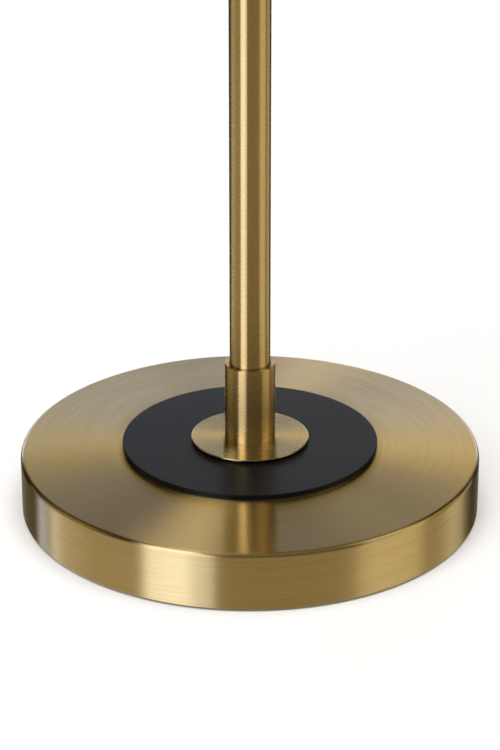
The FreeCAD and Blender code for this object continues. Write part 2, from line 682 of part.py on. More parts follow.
def holder_cup():
    wall_r = CUP_R - CUP_WALL
    roof = CUP_TOP - CUP_WALL
    cup = lathe([
        (STUD_RADIUS + SLIP, CUP_TOP), (CUP_R, CUP_TOP, CUP_EDGE_RADIUS), (CUP_R, CUP_BOTTOM),
        (wall_r, CUP_BOTTOM), (wall_r, roof, CUP_EDGE_RADIUS - CUP_WALL), (STUD_RADIUS + SLIP, roof),
    ], REACH)
    return cup.cut(along_x(rod(SWITCH_NECK_RADIUS + SLIP, 0, SHADE_R), SWITCH_Z, REACH))


def cup_nut():
    top = CUP_TOP - CUP_WALL - SLIP
    return hex_nut(LOCKNUT_FLATS, STUD_RADIUS + SLIP, top - LOCKNUT_THICKNESS, top, REACH)


def lampholder_body():
    """Moulded lampholder: closed roof, shoulder that seats the shade, threaded skirt below it."""
    shoulder_r = CUP_R - CUP_WALL - LOOSE
    shoulder_z = CUP_BOTTOM + HOLDER_FLANGE_THICKNESS
    return lathe([
        (STUD_RADIUS + SLIP, HOLDER_TOP), (HOLDER_RADIUS, HOLDER_TOP, 1.5),
        (HOLDER_RADIUS, shoulder_z), (shoulder_r, shoulder_z),
        (shoulder_r, CUP_BOTTOM), (HOLDER_RADIUS, CUP_BOTTOM), (HOLDER_RADIUS, HOLDER_BOTTOM, 0.8),
        (HOLDER_BORE_R, HOLDER_BOTTOM), (HOLDER_BORE_R, HOLDER_ROOF_Z), (STUD_RADIUS + SLIP, HOLDER_ROOF_Z),
    ], REACH)


def contact_block():
    """Steatite block between the terminals and the screw shell."""
    block = rod(HOLDER_BORE_R - SLIP, BLOCK_BOTTOM, BLOCK_TOP, REACH)
    return block.cut(rod(CENTRE_RIVET_RADIUS + SLIP, BLOCK_BOTTOM - 1, BLOCK_TOP + 1, REACH))


def terminal_screws():
    half = TERMINAL_PITCH / 2
    screws = [rod(TERMINAL_SCREW_RADIUS, BLOCK_TOP, BLOCK_TOP + TERMINAL_SCREW_HEIGHT, REACH, side)
              for side in (half, -half)]
    slot = Part.makeBox(1.0, TERMINAL_PITCH + 4 * TERMINAL_SCREW_RADIUS, 1.0,
                        Vector(REACH - 0.5, -half - 2 * TERMINAL_SCREW_RADIUS, BLOCK_TOP + 2.2))
    return Part.makeCompound([screw.cut(slot) for screw in screws])


def screw_shell():
    """Thin threaded sleeve, drawn plain, with a rim riveted under the block."""
    outer = SHELL_BORE_R + SCREW_SHELL_WALL
    rim = HOLDER_BORE_R - LOOSE
    rim_top = SHELL_FLANGE_Z + SCREW_SHELL_WALL
    return lathe([
        (SHELL_BORE_R, HOLDER_BOTTOM + 2), (outer, HOLDER_BOTTOM + 2), (outer, SHELL_FLANGE_Z),
        (rim, SHELL_FLANGE_Z), (rim, rim_top), (SHELL_BORE_R, rim_top),
    ], REACH)


def centre_contact():
    top = CENTRE_CONTACT_Z + CENTRE_CONTACT_THICKNESS
    return lathe([
        (0, CENTRE_CONTACT_Z), (CENTRE_CONTACT_RADIUS, CENTRE_CONTACT_Z, 0.5), (CENTRE_CONTACT_RADIUS, top),
        (CENTRE_RIVET_RADIUS, top), (CENTRE_RIVET_RADIUS, BLOCK_TOP + 0.8), (0, BLOCK_TOP + 0.8),
    ], REACH)


def shade():
    """Spun dome: a flat land on top, a quarter-round side, a short upright skirt and a rolled bead."""
    dome_r = SHADE_R - SHADE_LAND_RADIUS
    inner_r = SHADE_R - SHADE_WALL
    hole = HOLDER_RADIUS + LOOSE
    skin = lathe([
        (hole, SHADE_TOP), (SHADE_R, SHADE_TOP, dome_r), (SHADE_R, SHADE_MOUTH + SHADE_BEAD_RADIUS),
        (inner_r, SHADE_MOUTH + SHADE_BEAD_RADIUS), (inner_r, SHADE_TOP - SHADE_WALL, dome_r - SHADE_WALL),
        (hole, SHADE_TOP - SHADE_WALL),
    ], REACH)
    bead_r = SHADE_R - SHADE_BEAD_RADIUS
    bead = Part.makeTorus(bead_r, SHADE_BEAD_RADIUS, Vector(REACH, 0, SHADE_MOUTH + SHADE_BEAD_RADIUS))
    return one_solid(skin.fuse(bead))


def shade_ring():
    """Threaded ring that clamps the shade up against the lampholder's shoulder."""
    top = SHADE_TOP - SHADE_WALL
    body = top - SHADE_RING_THICKNESS
    inner = HOLDER_RADIUS + SLIP
    blank = lathe([
        (inner, top), (SHADE_RING_RADIUS, top), (SHADE_RING_RADIUS, body, 1.0), (inner, body),
    ], REACH)
    notch = rod(2.5, body - 1, top - 2, REACH + SHADE_RING_RADIUS + 1.2)
    for i in range(8):
        blank = blank.cut(notch.rotated(Vector(REACH, 0, 0), Vector(0, 0, 1), 45 * i + 22.5))
    return blank


def switch_body():
    """Rotary switch inside the cup, with its threaded neck through the cup's wall."""
    wall = CUP_R - CUP_WALL
    back = math.sqrt(wall ** 2 - SWITCH_BODY_RADIUS ** 2) - SEAT_GAP
    socket = SWITCH_SPINDLE_RADIUS + RUNNING
    body = lathe([
        (0, SWITCH_START), (SWITCH_BODY_RADIUS, SWITCH_START, 0.8), (SWITCH_BODY_RADIUS, back),
        (SWITCH_NECK_RADIUS, back), (SWITCH_NECK_RADIUS, SWITCH_NECK_END), (socket, SWITCH_NECK_END),
        (socket, SWITCH_START + SWITCH_END_WALL), (0, SWITCH_START + SWITCH_END_WALL),
    ])
    return along_x(body, SWITCH_Z, REACH)


def switch_nut():
    """Round nut, hollowed on the cup's side to sit on its curve."""
    nut = ring(SWITCH_NUT_RADIUS, SWITCH_NECK_RADIUS + SLIP, CUP_R - 1, CUP_R + SWITCH_NUT_THICKNESS)
    return along_x(nut, SWITCH_Z, REACH).cut(rod(CUP_R, CUP_BOTTOM, CUP_TOP, REACH))


def switch_knob():
    """Turn knob with a flat thumb paddle and its spindle, in one moulding."""
    near = SWITCH_NECK_END + SEAT_GAP
    far = near + SWITCH_KNOB_LENGTH
    start = SWITCH_START + SWITCH_END_WALL + SEAT_GAP
    knob = lathe([
        (0, start), (SWITCH_SPINDLE_RADIUS, start), (SWITCH_SPINDLE_RADIUS, near),
        (SWITCH_KNOB_RADIUS, near, 0.5), (SWITCH_KNOB_RADIUS, far, 1.5), (0, far),
    ])
    paddle_start = near + SWITCH_KNOB_LENGTH / 3
    size = 2 * SWITCH_KNOB_RADIUS
    for side in (SWITCH_KNOB_WAIST, -SWITCH_KNOB_WAIST - size):
        knob = knob.cut(Part.makeBox(2 * size, size, size, Vector(-size, side, paddle_start)))
    return along_x(knob, SWITCH_Z, REACH)


# ---- bulb ---------------------------------------------------------------------------------------
def glass_outline(inset):
    """Half section of the bulb's glass, drawn in from its outer face by inset."""
    neck, belly = BULB_NECK_RADIUS - inset, BULB_RADIUS - inset
    low = BULB_BOTTOM + inset
    waist = BULB_BOTTOM + 1.45 * BULB_RADIUS
    shoulder = CAP_BOTTOM - 0.3 * BULB_RADIUS
    return [
        (0, CAP_BOTTOM), (neck, CAP_BOTTOM), (neck, shoulder, BULB_RADIUS + inset),
        (belly, waist, BULB_RADIUS / 2 - inset), (belly, low, belly), (0, low),
    ]


def bulb_glass():
    outer = lathe(glass_outline(0.0), REACH)
    opening = rod(BULB_NECK_RADIUS - BULB_GLASS_WALL, CAP_BOTTOM - 1, CAP_BOTTOM + 1, REACH)
    return one_solid(outer.cut([lathe(glass_outline(BULB_GLASS_WALL), REACH), opening]))


def bulb_cap():
    """Screw cap with rounded thread crests, crimped to the glass and closed by the insulator."""
    crest, root = CAP_THREAD_RADIUS, CAP_THREAD_RADIUS - CAP_THREAD_DEPTH
    bore = root - CAP_WALL
    outline = [(bore, CAP_BOTTOM + SLIP), (root, CAP_BOTTOM + SLIP)]
    for i in range(CAP_TURNS):
        low = CAP_BOTTOM + 2.0 + i * CAP_THREAD_PITCH
        outline.append((root, low))
        outline.append((crest, low + 0.3 * CAP_THREAD_PITCH, 0.6))
        outline.append((crest, low + 0.6 * CAP_THREAD_PITCH, 0.6))
        outline.append((root, low + 0.9 * CAP_THREAD_PITCH))
    outline += [(root, CAP_SHOULDER), (bore, CAP_SHOULDER)]
    return lathe(outline, REACH)


def bulb_insulator():
    foot = CAP_THREAD_RADIUS - CAP_THREAD_DEPTH
    top = CAP_SHOULDER + CAP_INSULATOR_HEIGHT
    return lathe([(0, CAP_SHOULDER), (foot, CAP_SHOULDER), (CAP_TIP_RADIUS + 1, top), (0, top)], REACH)


def bulb_contact():
    foot = CAP_SHOULDER + CAP_INSULATOR_HEIGHT
    return lathe([(0, foot), (CAP_TIP_RADIUS, foot), (CAP_TIP_RADIUS, BULB_TOP, 0.8), (0, BULB_TOP)], REACH)


# ---- wiring -------------------------------------------------------------------------------------
def flex_floor_z():
    """Height of the wiring along the channel, a bend below the stud's mouth."""
    return STUD_BOTTOM - FLEX_BEND_RADIUS


def stand_flex():
    """Wiring from the terminal block, round under the stud and up the pole to the swivel."""
    low = flex_floor_z()
    path = Part.Wire([
        Part.LineSegment(Vector(0, TERMINAL_BLOCK_Y, low), Vector(0, FLEX_BEND_RADIUS, low)).toShape(),
        Part.Arc(Vector(0, FLEX_BEND_RADIUS, low),
                 Vector(0, FLEX_BEND_RADIUS * (1 - math.sin(math.pi / 4)),
                        low + FLEX_BEND_RADIUS * (1 - math.cos(math.pi / 4))),
                 Vector(0, 0, STUD_BOTTOM)).toShape(),
        Part.LineSegment(Vector(0, 0, STUD_BOTTOM), Vector(0, 0, SPINDLE_BOTTOM - SLIP)).toShape(),
    ])
    section = Part.Wire(Part.makeCircle(FLEX_RADIUS, Vector(0, TERMINAL_BLOCK_Y, low), Vector(0, 1, 0)))
    return path.makePipeShell([section], True, False)


def arm_flex():
    return bent_rod(FLEX_RADIUS, SPINDLE_BOTTOM, SLOT_TOP + SLIP)


def head_flex():
    return rod(FLEX_RADIUS, BLOCK_TOP + TERMINAL_SCREW_HEIGHT, flex_head_top() - SLIP, REACH)


def terminal_block():
    """Two-way terminal block where the supply lead would join the lamp's own wiring."""
    wide, long, tall = TERMINAL_BLOCK
    block = Part.makeBox(wide, long, tall, Vector(-wide / 2, TERMINAL_BLOCK_Y, PLATE_TOP))
    for x in (-wide / 4, wide / 4):
        bore = rod(TERMINAL_WIRE_RADIUS, TERMINAL_BLOCK_Y - 1, TERMINAL_BLOCK_Y + long + 1)
        block = block.cut(along_y(bore, PLATE_TOP + tall / 3, x))
        for y in (TERMINAL_BLOCK_Y + long / 4, TERMINAL_BLOCK_Y + 3 * long / 4):
            block = block.cut(rod(TERMINAL_CLAMP_RADIUS, PLATE_TOP + tall / 3, PLATE_TOP + tall + 1, x, y))
    return block


def inlet_bushing():
    """Snap-in bushing that lines the mains inlet at the back of the base."""
    outer = BASE_R + INLET_FLANGE_THICKNESS
    seat = BASE_R - INLET_SADDLE
    inside = BASE_R - SHELL_WALL - SEAT_GAP
    barb = INLET_NECK_RADIUS + INLET_BARB
    end = BASE_R - INLET_DEPTH
    bushing = lathe([
        (INLET_RADIUS, end), (INLET_NECK_RADIUS, end), (barb, inside - INLET_BARB_LENGTH), (barb, inside),
        (INLET_NECK_RADIUS, inside), (INLET_NECK_RADIUS, seat), (INLET_FLANGE_RADIUS, seat),
        (INLET_FLANGE_RADIUS, outer, 0.8), (INLET_RADIUS, outer),
    ])
    bushing = along_y(bushing, INLET_HEIGHT)
    rim = ring(BASE_R, BASE_R - SHELL_WALL, 0, BASE_EDGE_HEIGHT)
    neck = along_y(rod(INLET_NECK_RADIUS, 0, BASE_DIAMETER), INLET_HEIGHT)
    return bushing.cut(rim.cut(neck))


# ---- the assembly -------------------------------------------------------------------------------
STAND = [
    base_shell, base_weight, base_plate, base_plate_screws, base_pad, accent_disc, pole_flange, base_collar,
    base_collar_screw, tie_stud, spread_washer, tie_lock_washer, tie_locknut, pole_foot_plug, pole_lower,
    pole_joint_socket, pole_joint_spigot, pole_upper, swivel_housing, swivel_bush, swivel_stop_screw,
    top_collar, top_collar_screw, inlet_bushing, terminal_block, stand_flex,
]
ARM = [
    arm_spindle, swivel_wave_washer, swivel_thrust_washer, swivel_circlip, arm_stop_pin, arc_arm,
    knuckle_fork, pivot_bolt, friction_washers, arm_flex,
]
HEAD = [
    knuckle_tongue, holder_cup, cup_nut, switch_body, switch_nut, lampholder_body, contact_block,
    terminal_screws, screw_shell, centre_contact, shade, shade_ring, head_flex,
    bulb_glass, bulb_cap, bulb_insulator, bulb_contact,
]
BODIES = {
    "stand": STAND,
    "arm": ARM,
    "tilt_knob": [tilt_knob],
    "head": HEAD,
    "switch_knob": [switch_knob],
}


def main():
    os.makedirs("parts", exist_ok=True)
    for pieces in BODIES.values():
        for piece in pieces:
            piece().exportStep(os.path.join("parts", piece.__name__ + ".step"))
    print("bend of the wiring under the stud: radius", FLEX_BEND_RADIUS, "mm, diameter", 2 * FLEX_RADIUS, "mm")


if __name__ == "__main__":
    main()
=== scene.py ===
"""Finishes for an arc floor lamp: turned and brushed brass, a satin black disc and shade, and its fittings."""
import json
import math

import bmesh
import bpy
from bpy.props import FloatProperty, FloatVectorProperty, IntProperty, PointerProperty
from mathutils import Matrix, Vector


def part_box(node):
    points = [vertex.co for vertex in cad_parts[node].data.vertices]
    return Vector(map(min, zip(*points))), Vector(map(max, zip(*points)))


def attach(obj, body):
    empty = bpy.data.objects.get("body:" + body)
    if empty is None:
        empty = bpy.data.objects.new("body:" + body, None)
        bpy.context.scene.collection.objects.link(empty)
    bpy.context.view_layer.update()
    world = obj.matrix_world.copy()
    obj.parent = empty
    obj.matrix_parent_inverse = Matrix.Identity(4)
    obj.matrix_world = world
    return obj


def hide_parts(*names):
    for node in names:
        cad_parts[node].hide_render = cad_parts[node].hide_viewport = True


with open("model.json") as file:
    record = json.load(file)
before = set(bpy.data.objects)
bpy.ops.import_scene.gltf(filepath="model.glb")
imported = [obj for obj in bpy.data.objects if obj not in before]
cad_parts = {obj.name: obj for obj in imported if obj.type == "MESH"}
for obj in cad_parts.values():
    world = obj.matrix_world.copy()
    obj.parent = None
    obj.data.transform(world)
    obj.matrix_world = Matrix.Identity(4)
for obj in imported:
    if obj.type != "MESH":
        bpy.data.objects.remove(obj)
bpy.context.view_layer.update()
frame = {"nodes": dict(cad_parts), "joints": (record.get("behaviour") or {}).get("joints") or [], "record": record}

bl_info = {
    "name": "Arc floor lamp finishes",
    "version": (1, 0, 0),
    "blender": (4, 5, 0),
    "location": "3D View > Sidebar > Lamp",
    "description": "Builds the visible pieces of a brass and black arc floor lamp around its packed model",
    "category": "Object",
}

MM = 0.001
FULL_TURN = 2 * math.pi
SMOOTH_ANGLE = math.radians(32)
ARM_STEPS = 120


# ---- places read from the frame -----------------------------------------------------------------
def low(node):
    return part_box(node)[0]


def high(node):
    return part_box(node)[1]


def middle(node):
    return (low(node) + high(node)) / 2


def radius_of(node):
    """Half the width of a piece that is round about an upright axis."""
    return (high(node).x - low(node).x) / 2


def joint(name):
    return next(j for j in frame["joints"] if j["name"] == name)


POLE_AXIS = Vector((0, 0, 0))
PIVOT = Vector(joint("head_tilt")["pos_m"])
SWITCH = Vector(joint("switch_turn")["pos_m"])
HEAD_AXIS = Vector((PIVOT.x, 0, 0))


# ---- settings -----------------------------------------------------------------------------------
def length(name, description, default):
    return FloatProperty(name=name, description=description, default=default, min=0.0, unit="LENGTH")


def share(name, description, default):
    return FloatProperty(name=name, description=description, default=default, min=0.0, max=1.0, subtype="FACTOR")


def number(name, description, default):
    return FloatProperty(name=name, description=description, default=default)


def count(name, description, default):
    return IntProperty(name=name, description=description, default=default, min=3)


def colour(name, description, default):
    return FloatVectorProperty(name=name, description=description, default=default, size=3, min=0.0, max=1.0,
                               subtype="COLOR")


class LampSizes(bpy.types.PropertyGroup):
    """Sizes of the visible pieces that their boxes don't give."""
    segments: count("Segments", "Sides round each large turned piece", 256)
    small_segments: count("Small segments", "Sides round each small turned piece", 96)
    base_edge: length("Base edge", "Radius of the base's top edge", 2.5 * MM)
    base_crown: length("Crown", "How far the base's top falls from its flat centre to its edge", 3.0 * MM)
    crown_blend: length("Crown blend", "Radius where the flat centre starts to fall", 200 * MM)
    crown_margin: length("Crown margin", "Flat ring left round the black disc", 6.0 * MM)
    shell_wall: length("Shell wall", "Thickness of the spun base shell", 1.2 * MM)
    centre_hole: length("Centre hole", "Radius of the hole that the tie stud runs through", 5.4 * MM)
    disc_edge: length("Disc edge", "Radius of the black disc's edges", 0.55 * MM)
    flange_lip: length("Flange lip", "Thickness of the flange's overhanging lip", 1.0 * MM)
    flange_boss: length("Flange boss", "Radius of the boss that carries the flange", 31.0 * MM)
    small_edge: length("Small edge", "Radius of the edges of collars and knobs", 0.4 * MM)
    tube_wall: length("Tube wall", "Wall of the pole and arm tubes", 1.5 * MM)
    loose: length("Loose fit", "Gap left between the collars and what they slide over", 0.4 * MM)
    seam: length("Seam chamfer", "Bevel on each side of the pole's joint", 0.35 * MM)
    screw_hole: length("Screw hole", "Radius of the hole over each collar's screw", 2.1 * MM)
    cup_edge: length("Cup edge", "Radius of the lampholder cup's top edge", 4.0 * MM)
    cup_wall: length("Cup wall", "Wall of the lampholder cup", 1.2 * MM)
    shade_wall: length("Shade wall", "Wall of the spun shade", 0.8 * MM)
    shade_land: length("Shade land", "Radius of the flat land on top of the shade", 32.0 * MM)
    shade_bead: length("Shade bead", "Radius of the rolled bead round the shade's mouth", 1.3 * MM)
    ribs: count("Knob ribs", "Ribs round the tilt knob", 30)
    rib_radius: length("Rib radius", "Radius of each rib on the tilt knob", 0.5 * MM)
    ring_grips: count("Ring grips", "Grips round the shade ring", 16)
    inlet_hole: length("Inlet hole", "Radius of the hole that the inlet bushing fills", 5.1 * MM)
    pad_edge: length("Pad edge", "Radius of the felt pad's lower edge", 0.7 * MM)
    arm_overlap: length("Arm overlap", "How far the arm's end goes into the fork", 14 * MM)
    knob_bore: length("Knob bore", "Radius of the hole in the tilt knob", 2.6 * MM)
    wire_hole: length("Wire hole", "Radius of the holes that the wires pass through above the bulb", 5.1 * MM)
    switch_hole: length("Switch hole", "Radius of the switch's hole in the cup", 4.1 * MM)
    shade_hole: length("Shade hole", "Radius of the hole in the top of the shade", 19.4 * MM)
    ring_bore: length("Ring bore", "Radius of the shade ring's threaded hole", 19.1 * MM)
    ring_grip: length("Ring grip", "Radius of each grip on the shade ring", 1.2 * MM)
    bulb_neck: length("Bulb neck", "Radius of the bulb's neck", 12.6 * MM)
    holder_skirt: length("Holder skirt", "Radius of the lampholder's threaded skirt", 19.0 * MM)
    holder_bore: length("Holder bore", "Radius of the room inside the lampholder", 16.5 * MM)
    skirt_pitch: length("Skirt thread pitch", "Rise of the skirt's thread in one turn", 2.5 * MM)
    skirt_depth: length("Skirt thread depth", "Depth of the skirt's thread", 0.45 * MM)
    screw_shell_bore: length("Screw shell bore", "Radius inside the rolled screw shell", 13.5 * MM)
    screw_shell_wall: length("Screw shell wall", "Wall of the rolled screw shell", 0.5 * MM)
    thread_pitch: length("Cap thread pitch", "Rise of the bulb cap's thread in one turn", 3.6 * MM)
    thread_depth: length("Cap thread depth", "Depth of the bulb cap's thread", 0.9 * MM)


class LampColours(bpy.types.PropertyGroup):
    """Colours and surface settings of the finishes."""
    brass: colour("Brass", "Colour of the brushed brass", (0.86, 0.70, 0.42))
    # The deep colour also goes evenly over whole finishes, by their deep amount, as painted warm reflected light.
    brass_deep: colour("Deep brass", "Colour in the grooves and in aged patches", (0.80, 0.56, 0.26))
    brass_rough: share("Brass roughness", "Roughness of the brushed brass", 0.27)
    brass_stretch: share("Brass anisotropy", "How far the brushing draws out each reflection", 1.0)
    black: colour("Black", "Colour of the black enamel", (0.0036, 0.0036, 0.0042))
    black_rough: share("Black roughness", "Roughness of the black enamel", 0.32)
    grain_pitch: length("Grain pitch", "Spacing of the fine brushing lines", 0.28 * MM)
    streak_pitch: length("Streak pitch", "Spacing of the broad brushing streaks", 1.5 * MM)


class StageSettings(bpy.types.PropertyGroup):
    """Camera, floor and studio light."""
    lens: number("Lens", "Focal length in millimetres on a 36 mm sensor", 123.67)
    distance: length("Distance", "From the camera to the point that it looks at", 1.5857)
    elevation: FloatProperty(name="Elevation", description="Angle that the camera looks down", subtype="ANGLE",
                             default=math.radians(24.22))
    aim_height: length("Aim height", "Height of the point that the camera looks at", 0.08607)
    floor: colour("Floor", "Colour of the floor", (0.93, 0.935, 0.95))
    fill: number("Fill", "Strength of the soft light from above", 3.1)


def sizes():
    return bpy.context.scene.lamp_sizes


def colours():
    return bpy.context.scene.lamp_colours


# ---- mesh helpers -------------------------------------------------------------------------------
def rounded(outline, steps=8, closed=True):
    """Dense (r, z) outline from corners; a third number rounds that corner."""
    corners = [Vector(p[:2]) for p in outline]
    last = len(corners) - 1
    radii = [p[2] if len(p) > 2 and (closed or 0 < i < last) else 0.0 for i, p in enumerate(outline)]
    ways = [((corners[i - 1] - corner).normalized(), (corners[(i + 1) % len(corners)] - corner).normalized())
            for i, corner in enumerate(corners)]
    halves = [back.angle(ahead, 0.0) / 2 for back, ahead in ways]
    reaches = [radius / math.tan(half) if radius else 0.0 for radius, half in zip(radii, halves)]
    dense = []
    for i, corner in enumerate(corners):
        if not radii[i]:
            dense.append(corner)
            continue
        back, ahead = ways[i]
        after = (i + 1) % len(corners)
        reach = reaches[i]
        centre = corner + (back + ahead).normalized() * (radii[i] / math.sin(halves[i]))
        start, end = corner + back * reach, corner + ahead * reach
        sweep = (start - centre).angle_signed(end - centre)
        support = min(radii[i], reach) * 0.25
        straight_before = (corners[i - 1] - corner).length - reach - reaches[i - 1]
        straight_after = (corners[after] - corner).length - reach - reaches[after]
        if straight_before > 4 * support:
            dense.append(start + back * support)
        for step in range(steps + 1):
            spoke = start - centre
            spoke.rotate(Matrix.Rotation(-sweep * step / steps, 2))
            dense.append(centre + spoke)
        if straight_after > 4 * support:
            dense.append(end + ahead * support)
    return [(p.x, p.y) for p in dense]


def new_object(name, mesh):
    made = bpy.data.objects.new(name, mesh)
    bpy.context.scene.collection.objects.link(made)
    return made


def turned_mesh(name, outline, segments, swing=None):
    """Closed mesh turned about Z. swing(angle, r, z) may move each point's radius, as a thread does."""
    mesh = bpy.data.meshes.new(name)
    shape = bmesh.new()
    rings = []
    for r, z in outline:
        if r < 1e-7:
            rings.append([shape.verts.new((0, 0, z))])
            continue
        ring = []
        for i in range(segments):
            angle = FULL_TURN * i / segments
            reach = r if swing is None else swing(angle, r, z)
            ring.append(shape.verts.new((reach * math.cos(angle), reach * math.sin(angle), z)))
        rings.append(ring)
    pairs = list(zip(rings, rings[1:]))
    if len(rings[0]) > 1 or len(rings[-1]) > 1:
        pairs.append((rings[-1], rings[0]))
    for one, two in pairs:
        join_rings(shape, one, two, segments)
    bmesh.ops.recalc_face_normals(shape, faces=shape.faces)
    shape.to_mesh(mesh)
    shape.free()
    return mesh


def join_rings(shape, one, two, segments):
    if len(one) == 1 and len(two) == 1:
        return
    for i in range(segments):
        j = (i + 1) % segments
        corners = []
        for ring, index in ((one, i), (one, j), (two, j), (two, i)):
            vertex = ring[0] if len(ring) == 1 else ring[index]
            if vertex not in corners:
                corners.append(vertex)
        shape.faces.new(corners)


def turned(name, outline, at=POLE_AXIS, segments=None, steps=8, swing=None):
    """Piece turned about an upright axis at `at`, from corners in metres."""
    mesh = turned_mesh(name, rounded(outline, steps), segments or sizes().segments, swing)
    mesh.transform(place(at))
    return new_object(name, mesh)


def place(at, axis="Z"):
    """Matrix that stands a shape made about Z on a point, with its axis along X, -Y or Z."""
    turns = {"Z": Matrix.Identity(4), "X": Matrix.Rotation(math.pi / 2, 4, "Y"),
             "-Y": Matrix.Rotation(math.pi / 2, 4, "X")}
    return Matrix.Translation(at) @ turns[axis]


def smooth(piece, angle=SMOOTH_ANGLE):
    piece.data.shade_smooth()
    piece.data.set_sharp_from_angle(angle=angle)
    return piece


def settle(piece):
    """Turns the piece's modifiers into plain mesh and takes them off."""
    bpy.context.view_layer.update()
    graph = bpy.context.evaluated_depsgraph_get()
    mesh = bpy.data.meshes.new_from_object(piece.evaluated_get(graph), depsgraph=graph)
    piece.modifiers.clear()
    piece.data = mesh
    mesh.name = piece.name
    return piece


def merged_copy(node, name):
    """New piece with a CAD node's shape, its loose triangles joined up."""
    mesh = frame["nodes"][node].data.copy()
    mesh.materials.clear()
    shape = bmesh.new()
    shape.from_mesh(mesh)
    bmesh.ops.remove_doubles(shape, verts=shape.verts, dist=1e-6)
    bmesh.ops.dissolve_limit(shape, angle_limit=math.radians(1.0), verts=shape.verts, edges=shape.edges)
    shape.to_mesh(mesh)
    shape.free()
    return new_object(name, mesh)


def softened(node, width, material, segments=3):
    """Copy of a CAD node with its sharp edges rounded over."""
    piece = merged_copy(node, node + "_finished")
    bevel = piece.modifiers.new("edges", "BEVEL")
    bevel.width = width
    bevel.segments = segments
    bevel.limit_method = "ANGLE"
    bevel.angle_limit = math.radians(35)
    bevel.harden_normals = True
    piece.data.shade_smooth()
    settle(piece)
    piece.data.set_sharp_from_angle(angle=SMOOTH_ANGLE)
    return finish(piece, material, node)


def bored(piece, radius, start, end):
    """Cuts a round hole through a piece between two points."""
    along = end - start
    cutter_mesh = turned_mesh("drill", [(0, 0), (radius, 0), (radius, along.length), (0, along.length)], 48)
    cutter_mesh.transform(along.to_track_quat("Z", "Y").to_matrix().to_4x4())
    cutter = new_object("drill", cutter_mesh)
    cutter.location = start
    cut = piece.modifiers.new("hole", "BOOLEAN")
    cut.object = cutter
    cut.solver = "EXACT"
    settle(piece)
    bpy.data.objects.remove(cutter)
    return piece


def finish(piece, material, *nodes, body=None, slot=None):
    """Gives a piece its material, its body and the CAD nodes that it stands for."""
    if material is not None:
        piece.data.materials.clear()
        piece.data.materials.append(material)
    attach(piece, body or body_of(nodes[0]))
    if nodes:
        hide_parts(*nodes)
    return piece


def body_of(node):
    bodies = frame["record"]["behaviour"]["bodies"]
    return next(body for body, nodes in bodies.items() if node in nodes)


def slot_of(node):
    return next(row["material_slot"] for row in frame["record"]["subparts"] if row["node"] == node)


# ---- geometry node trees ------------------------------------------------------------------------
def geometry_tree(name, inputs):
    """Empty tree with a geometry input, the named inputs and a geometry output."""
    tree = bpy.data.node_groups.new(name, "GeometryNodeTree")
    tree.interface.new_socket("Geometry", in_out="OUTPUT", socket_type="NodeSocketGeometry")
    tree.interface.new_socket("Geometry", in_out="INPUT", socket_type="NodeSocketGeometry")
    for label, kind in inputs:
        tree.interface.new_socket(label, in_out="INPUT", socket_type=kind)
    return tree, tree.nodes.new("NodeGroupInput"), tree.nodes.new("NodeGroupOutput")


def close_tree(tree, source, entry, end):
    """Realize Instances, Set Material and smooth shading, as every tree ends."""
    real = add(tree, "GeometryNodeRealizeInstances", {"Geometry": source})
    smooth_faces = add(tree, "GeometryNodeSetShadeSmooth", {"Geometry": real.outputs[0]})
    paint = add(tree, "GeometryNodeSetMaterial",
                {"Geometry": smooth_faces.outputs[0], "Material": entry.outputs["Material"]})
    tree.links.new(paint.outputs[0], end.inputs[0])
    return tree


def swept_tube_tree():
    """Round bar along the piece's own line of edges."""
    tree, entry, end = geometry_tree("swept_tube", [
        ("Radius", "NodeSocketFloat"), ("Sides", "NodeSocketInt"), ("Material", "NodeSocketMaterial")])
    line = add(tree, "GeometryNodeMeshToCurve", {"Mesh": entry.outputs["Geometry"]})
    section = add(tree, "GeometryNodeCurvePrimitiveCircle", {"Resolution": entry.outputs["Sides"]})
    tree.links.new(entry.outputs["Radius"], section.inputs["Radius"])
    tube = add(tree, "GeometryNodeCurveToMesh",
               {"Curve": line.outputs[0], "Profile Curve": section.outputs[0], "Fill Caps": True})
    return close_tree(tree, tube.outputs[0], entry, end)


def ring_of_pieces_tree():
    """Copies of the piece's own mesh, evenly spaced and turned to face out of a circle."""
    if "ring_of_pieces" in bpy.data.node_groups:
        return bpy.data.node_groups["ring_of_pieces"]
    tree, entry, end = geometry_tree("ring_of_pieces", [
        ("Count", "NodeSocketInt"), ("Radius", "NodeSocketFloat"), ("Material", "NodeSocketMaterial")])
    circle = add(tree, "GeometryNodeMeshCircle",
                 {"Vertices": entry.outputs["Count"], "Radius": entry.outputs["Radius"]})
    index = add(tree, "GeometryNodeInputIndex")
    step = add(tree, "ShaderNodeMath", {0: FULL_TURN, 1: entry.outputs["Count"]}, operation="DIVIDE")
    angle = add(tree, "ShaderNodeMath", {0: index.outputs[0], 1: step.outputs[0]}, operation="MULTIPLY")
    turn = add(tree, "ShaderNodeCombineXYZ", {"Z": angle.outputs[0]})
    copies = add(tree, "GeometryNodeInstanceOnPoints",
                 {"Points": circle.outputs[0], "Instance": entry.outputs["Geometry"], "Rotation": turn.outputs[0]})
    return close_tree(tree, copies.outputs[0], entry, end)


def with_tree(piece, tree, **values):
    """Runs a geometry tree on the piece with these inputs, and keeps the plain mesh."""
    run = piece.modifiers.new(tree.name, "NODES")
    run.node_group = tree
    for item in tree.interface.items_tree:
        if item.in_out == "INPUT" and item.name.lower() in values:
            run[item.identifier] = values[item.name.lower()]
    return settle(piece)


# ---- shader helpers -----------------------------------------------------------------------------
def add(tree, kind, inputs=None, **settings):
    """New node with its settings, and its inputs set to values or linked to sockets."""
    made = tree.nodes.new(kind)
    for name, value in settings.items():
        setattr(made, name, value)
    for key, value in (inputs or {}).items():
        if isinstance(value, bpy.types.NodeSocket):
            tree.links.new(value, made.inputs[key])
        else:
            made.inputs[key].default_value = value
    return made


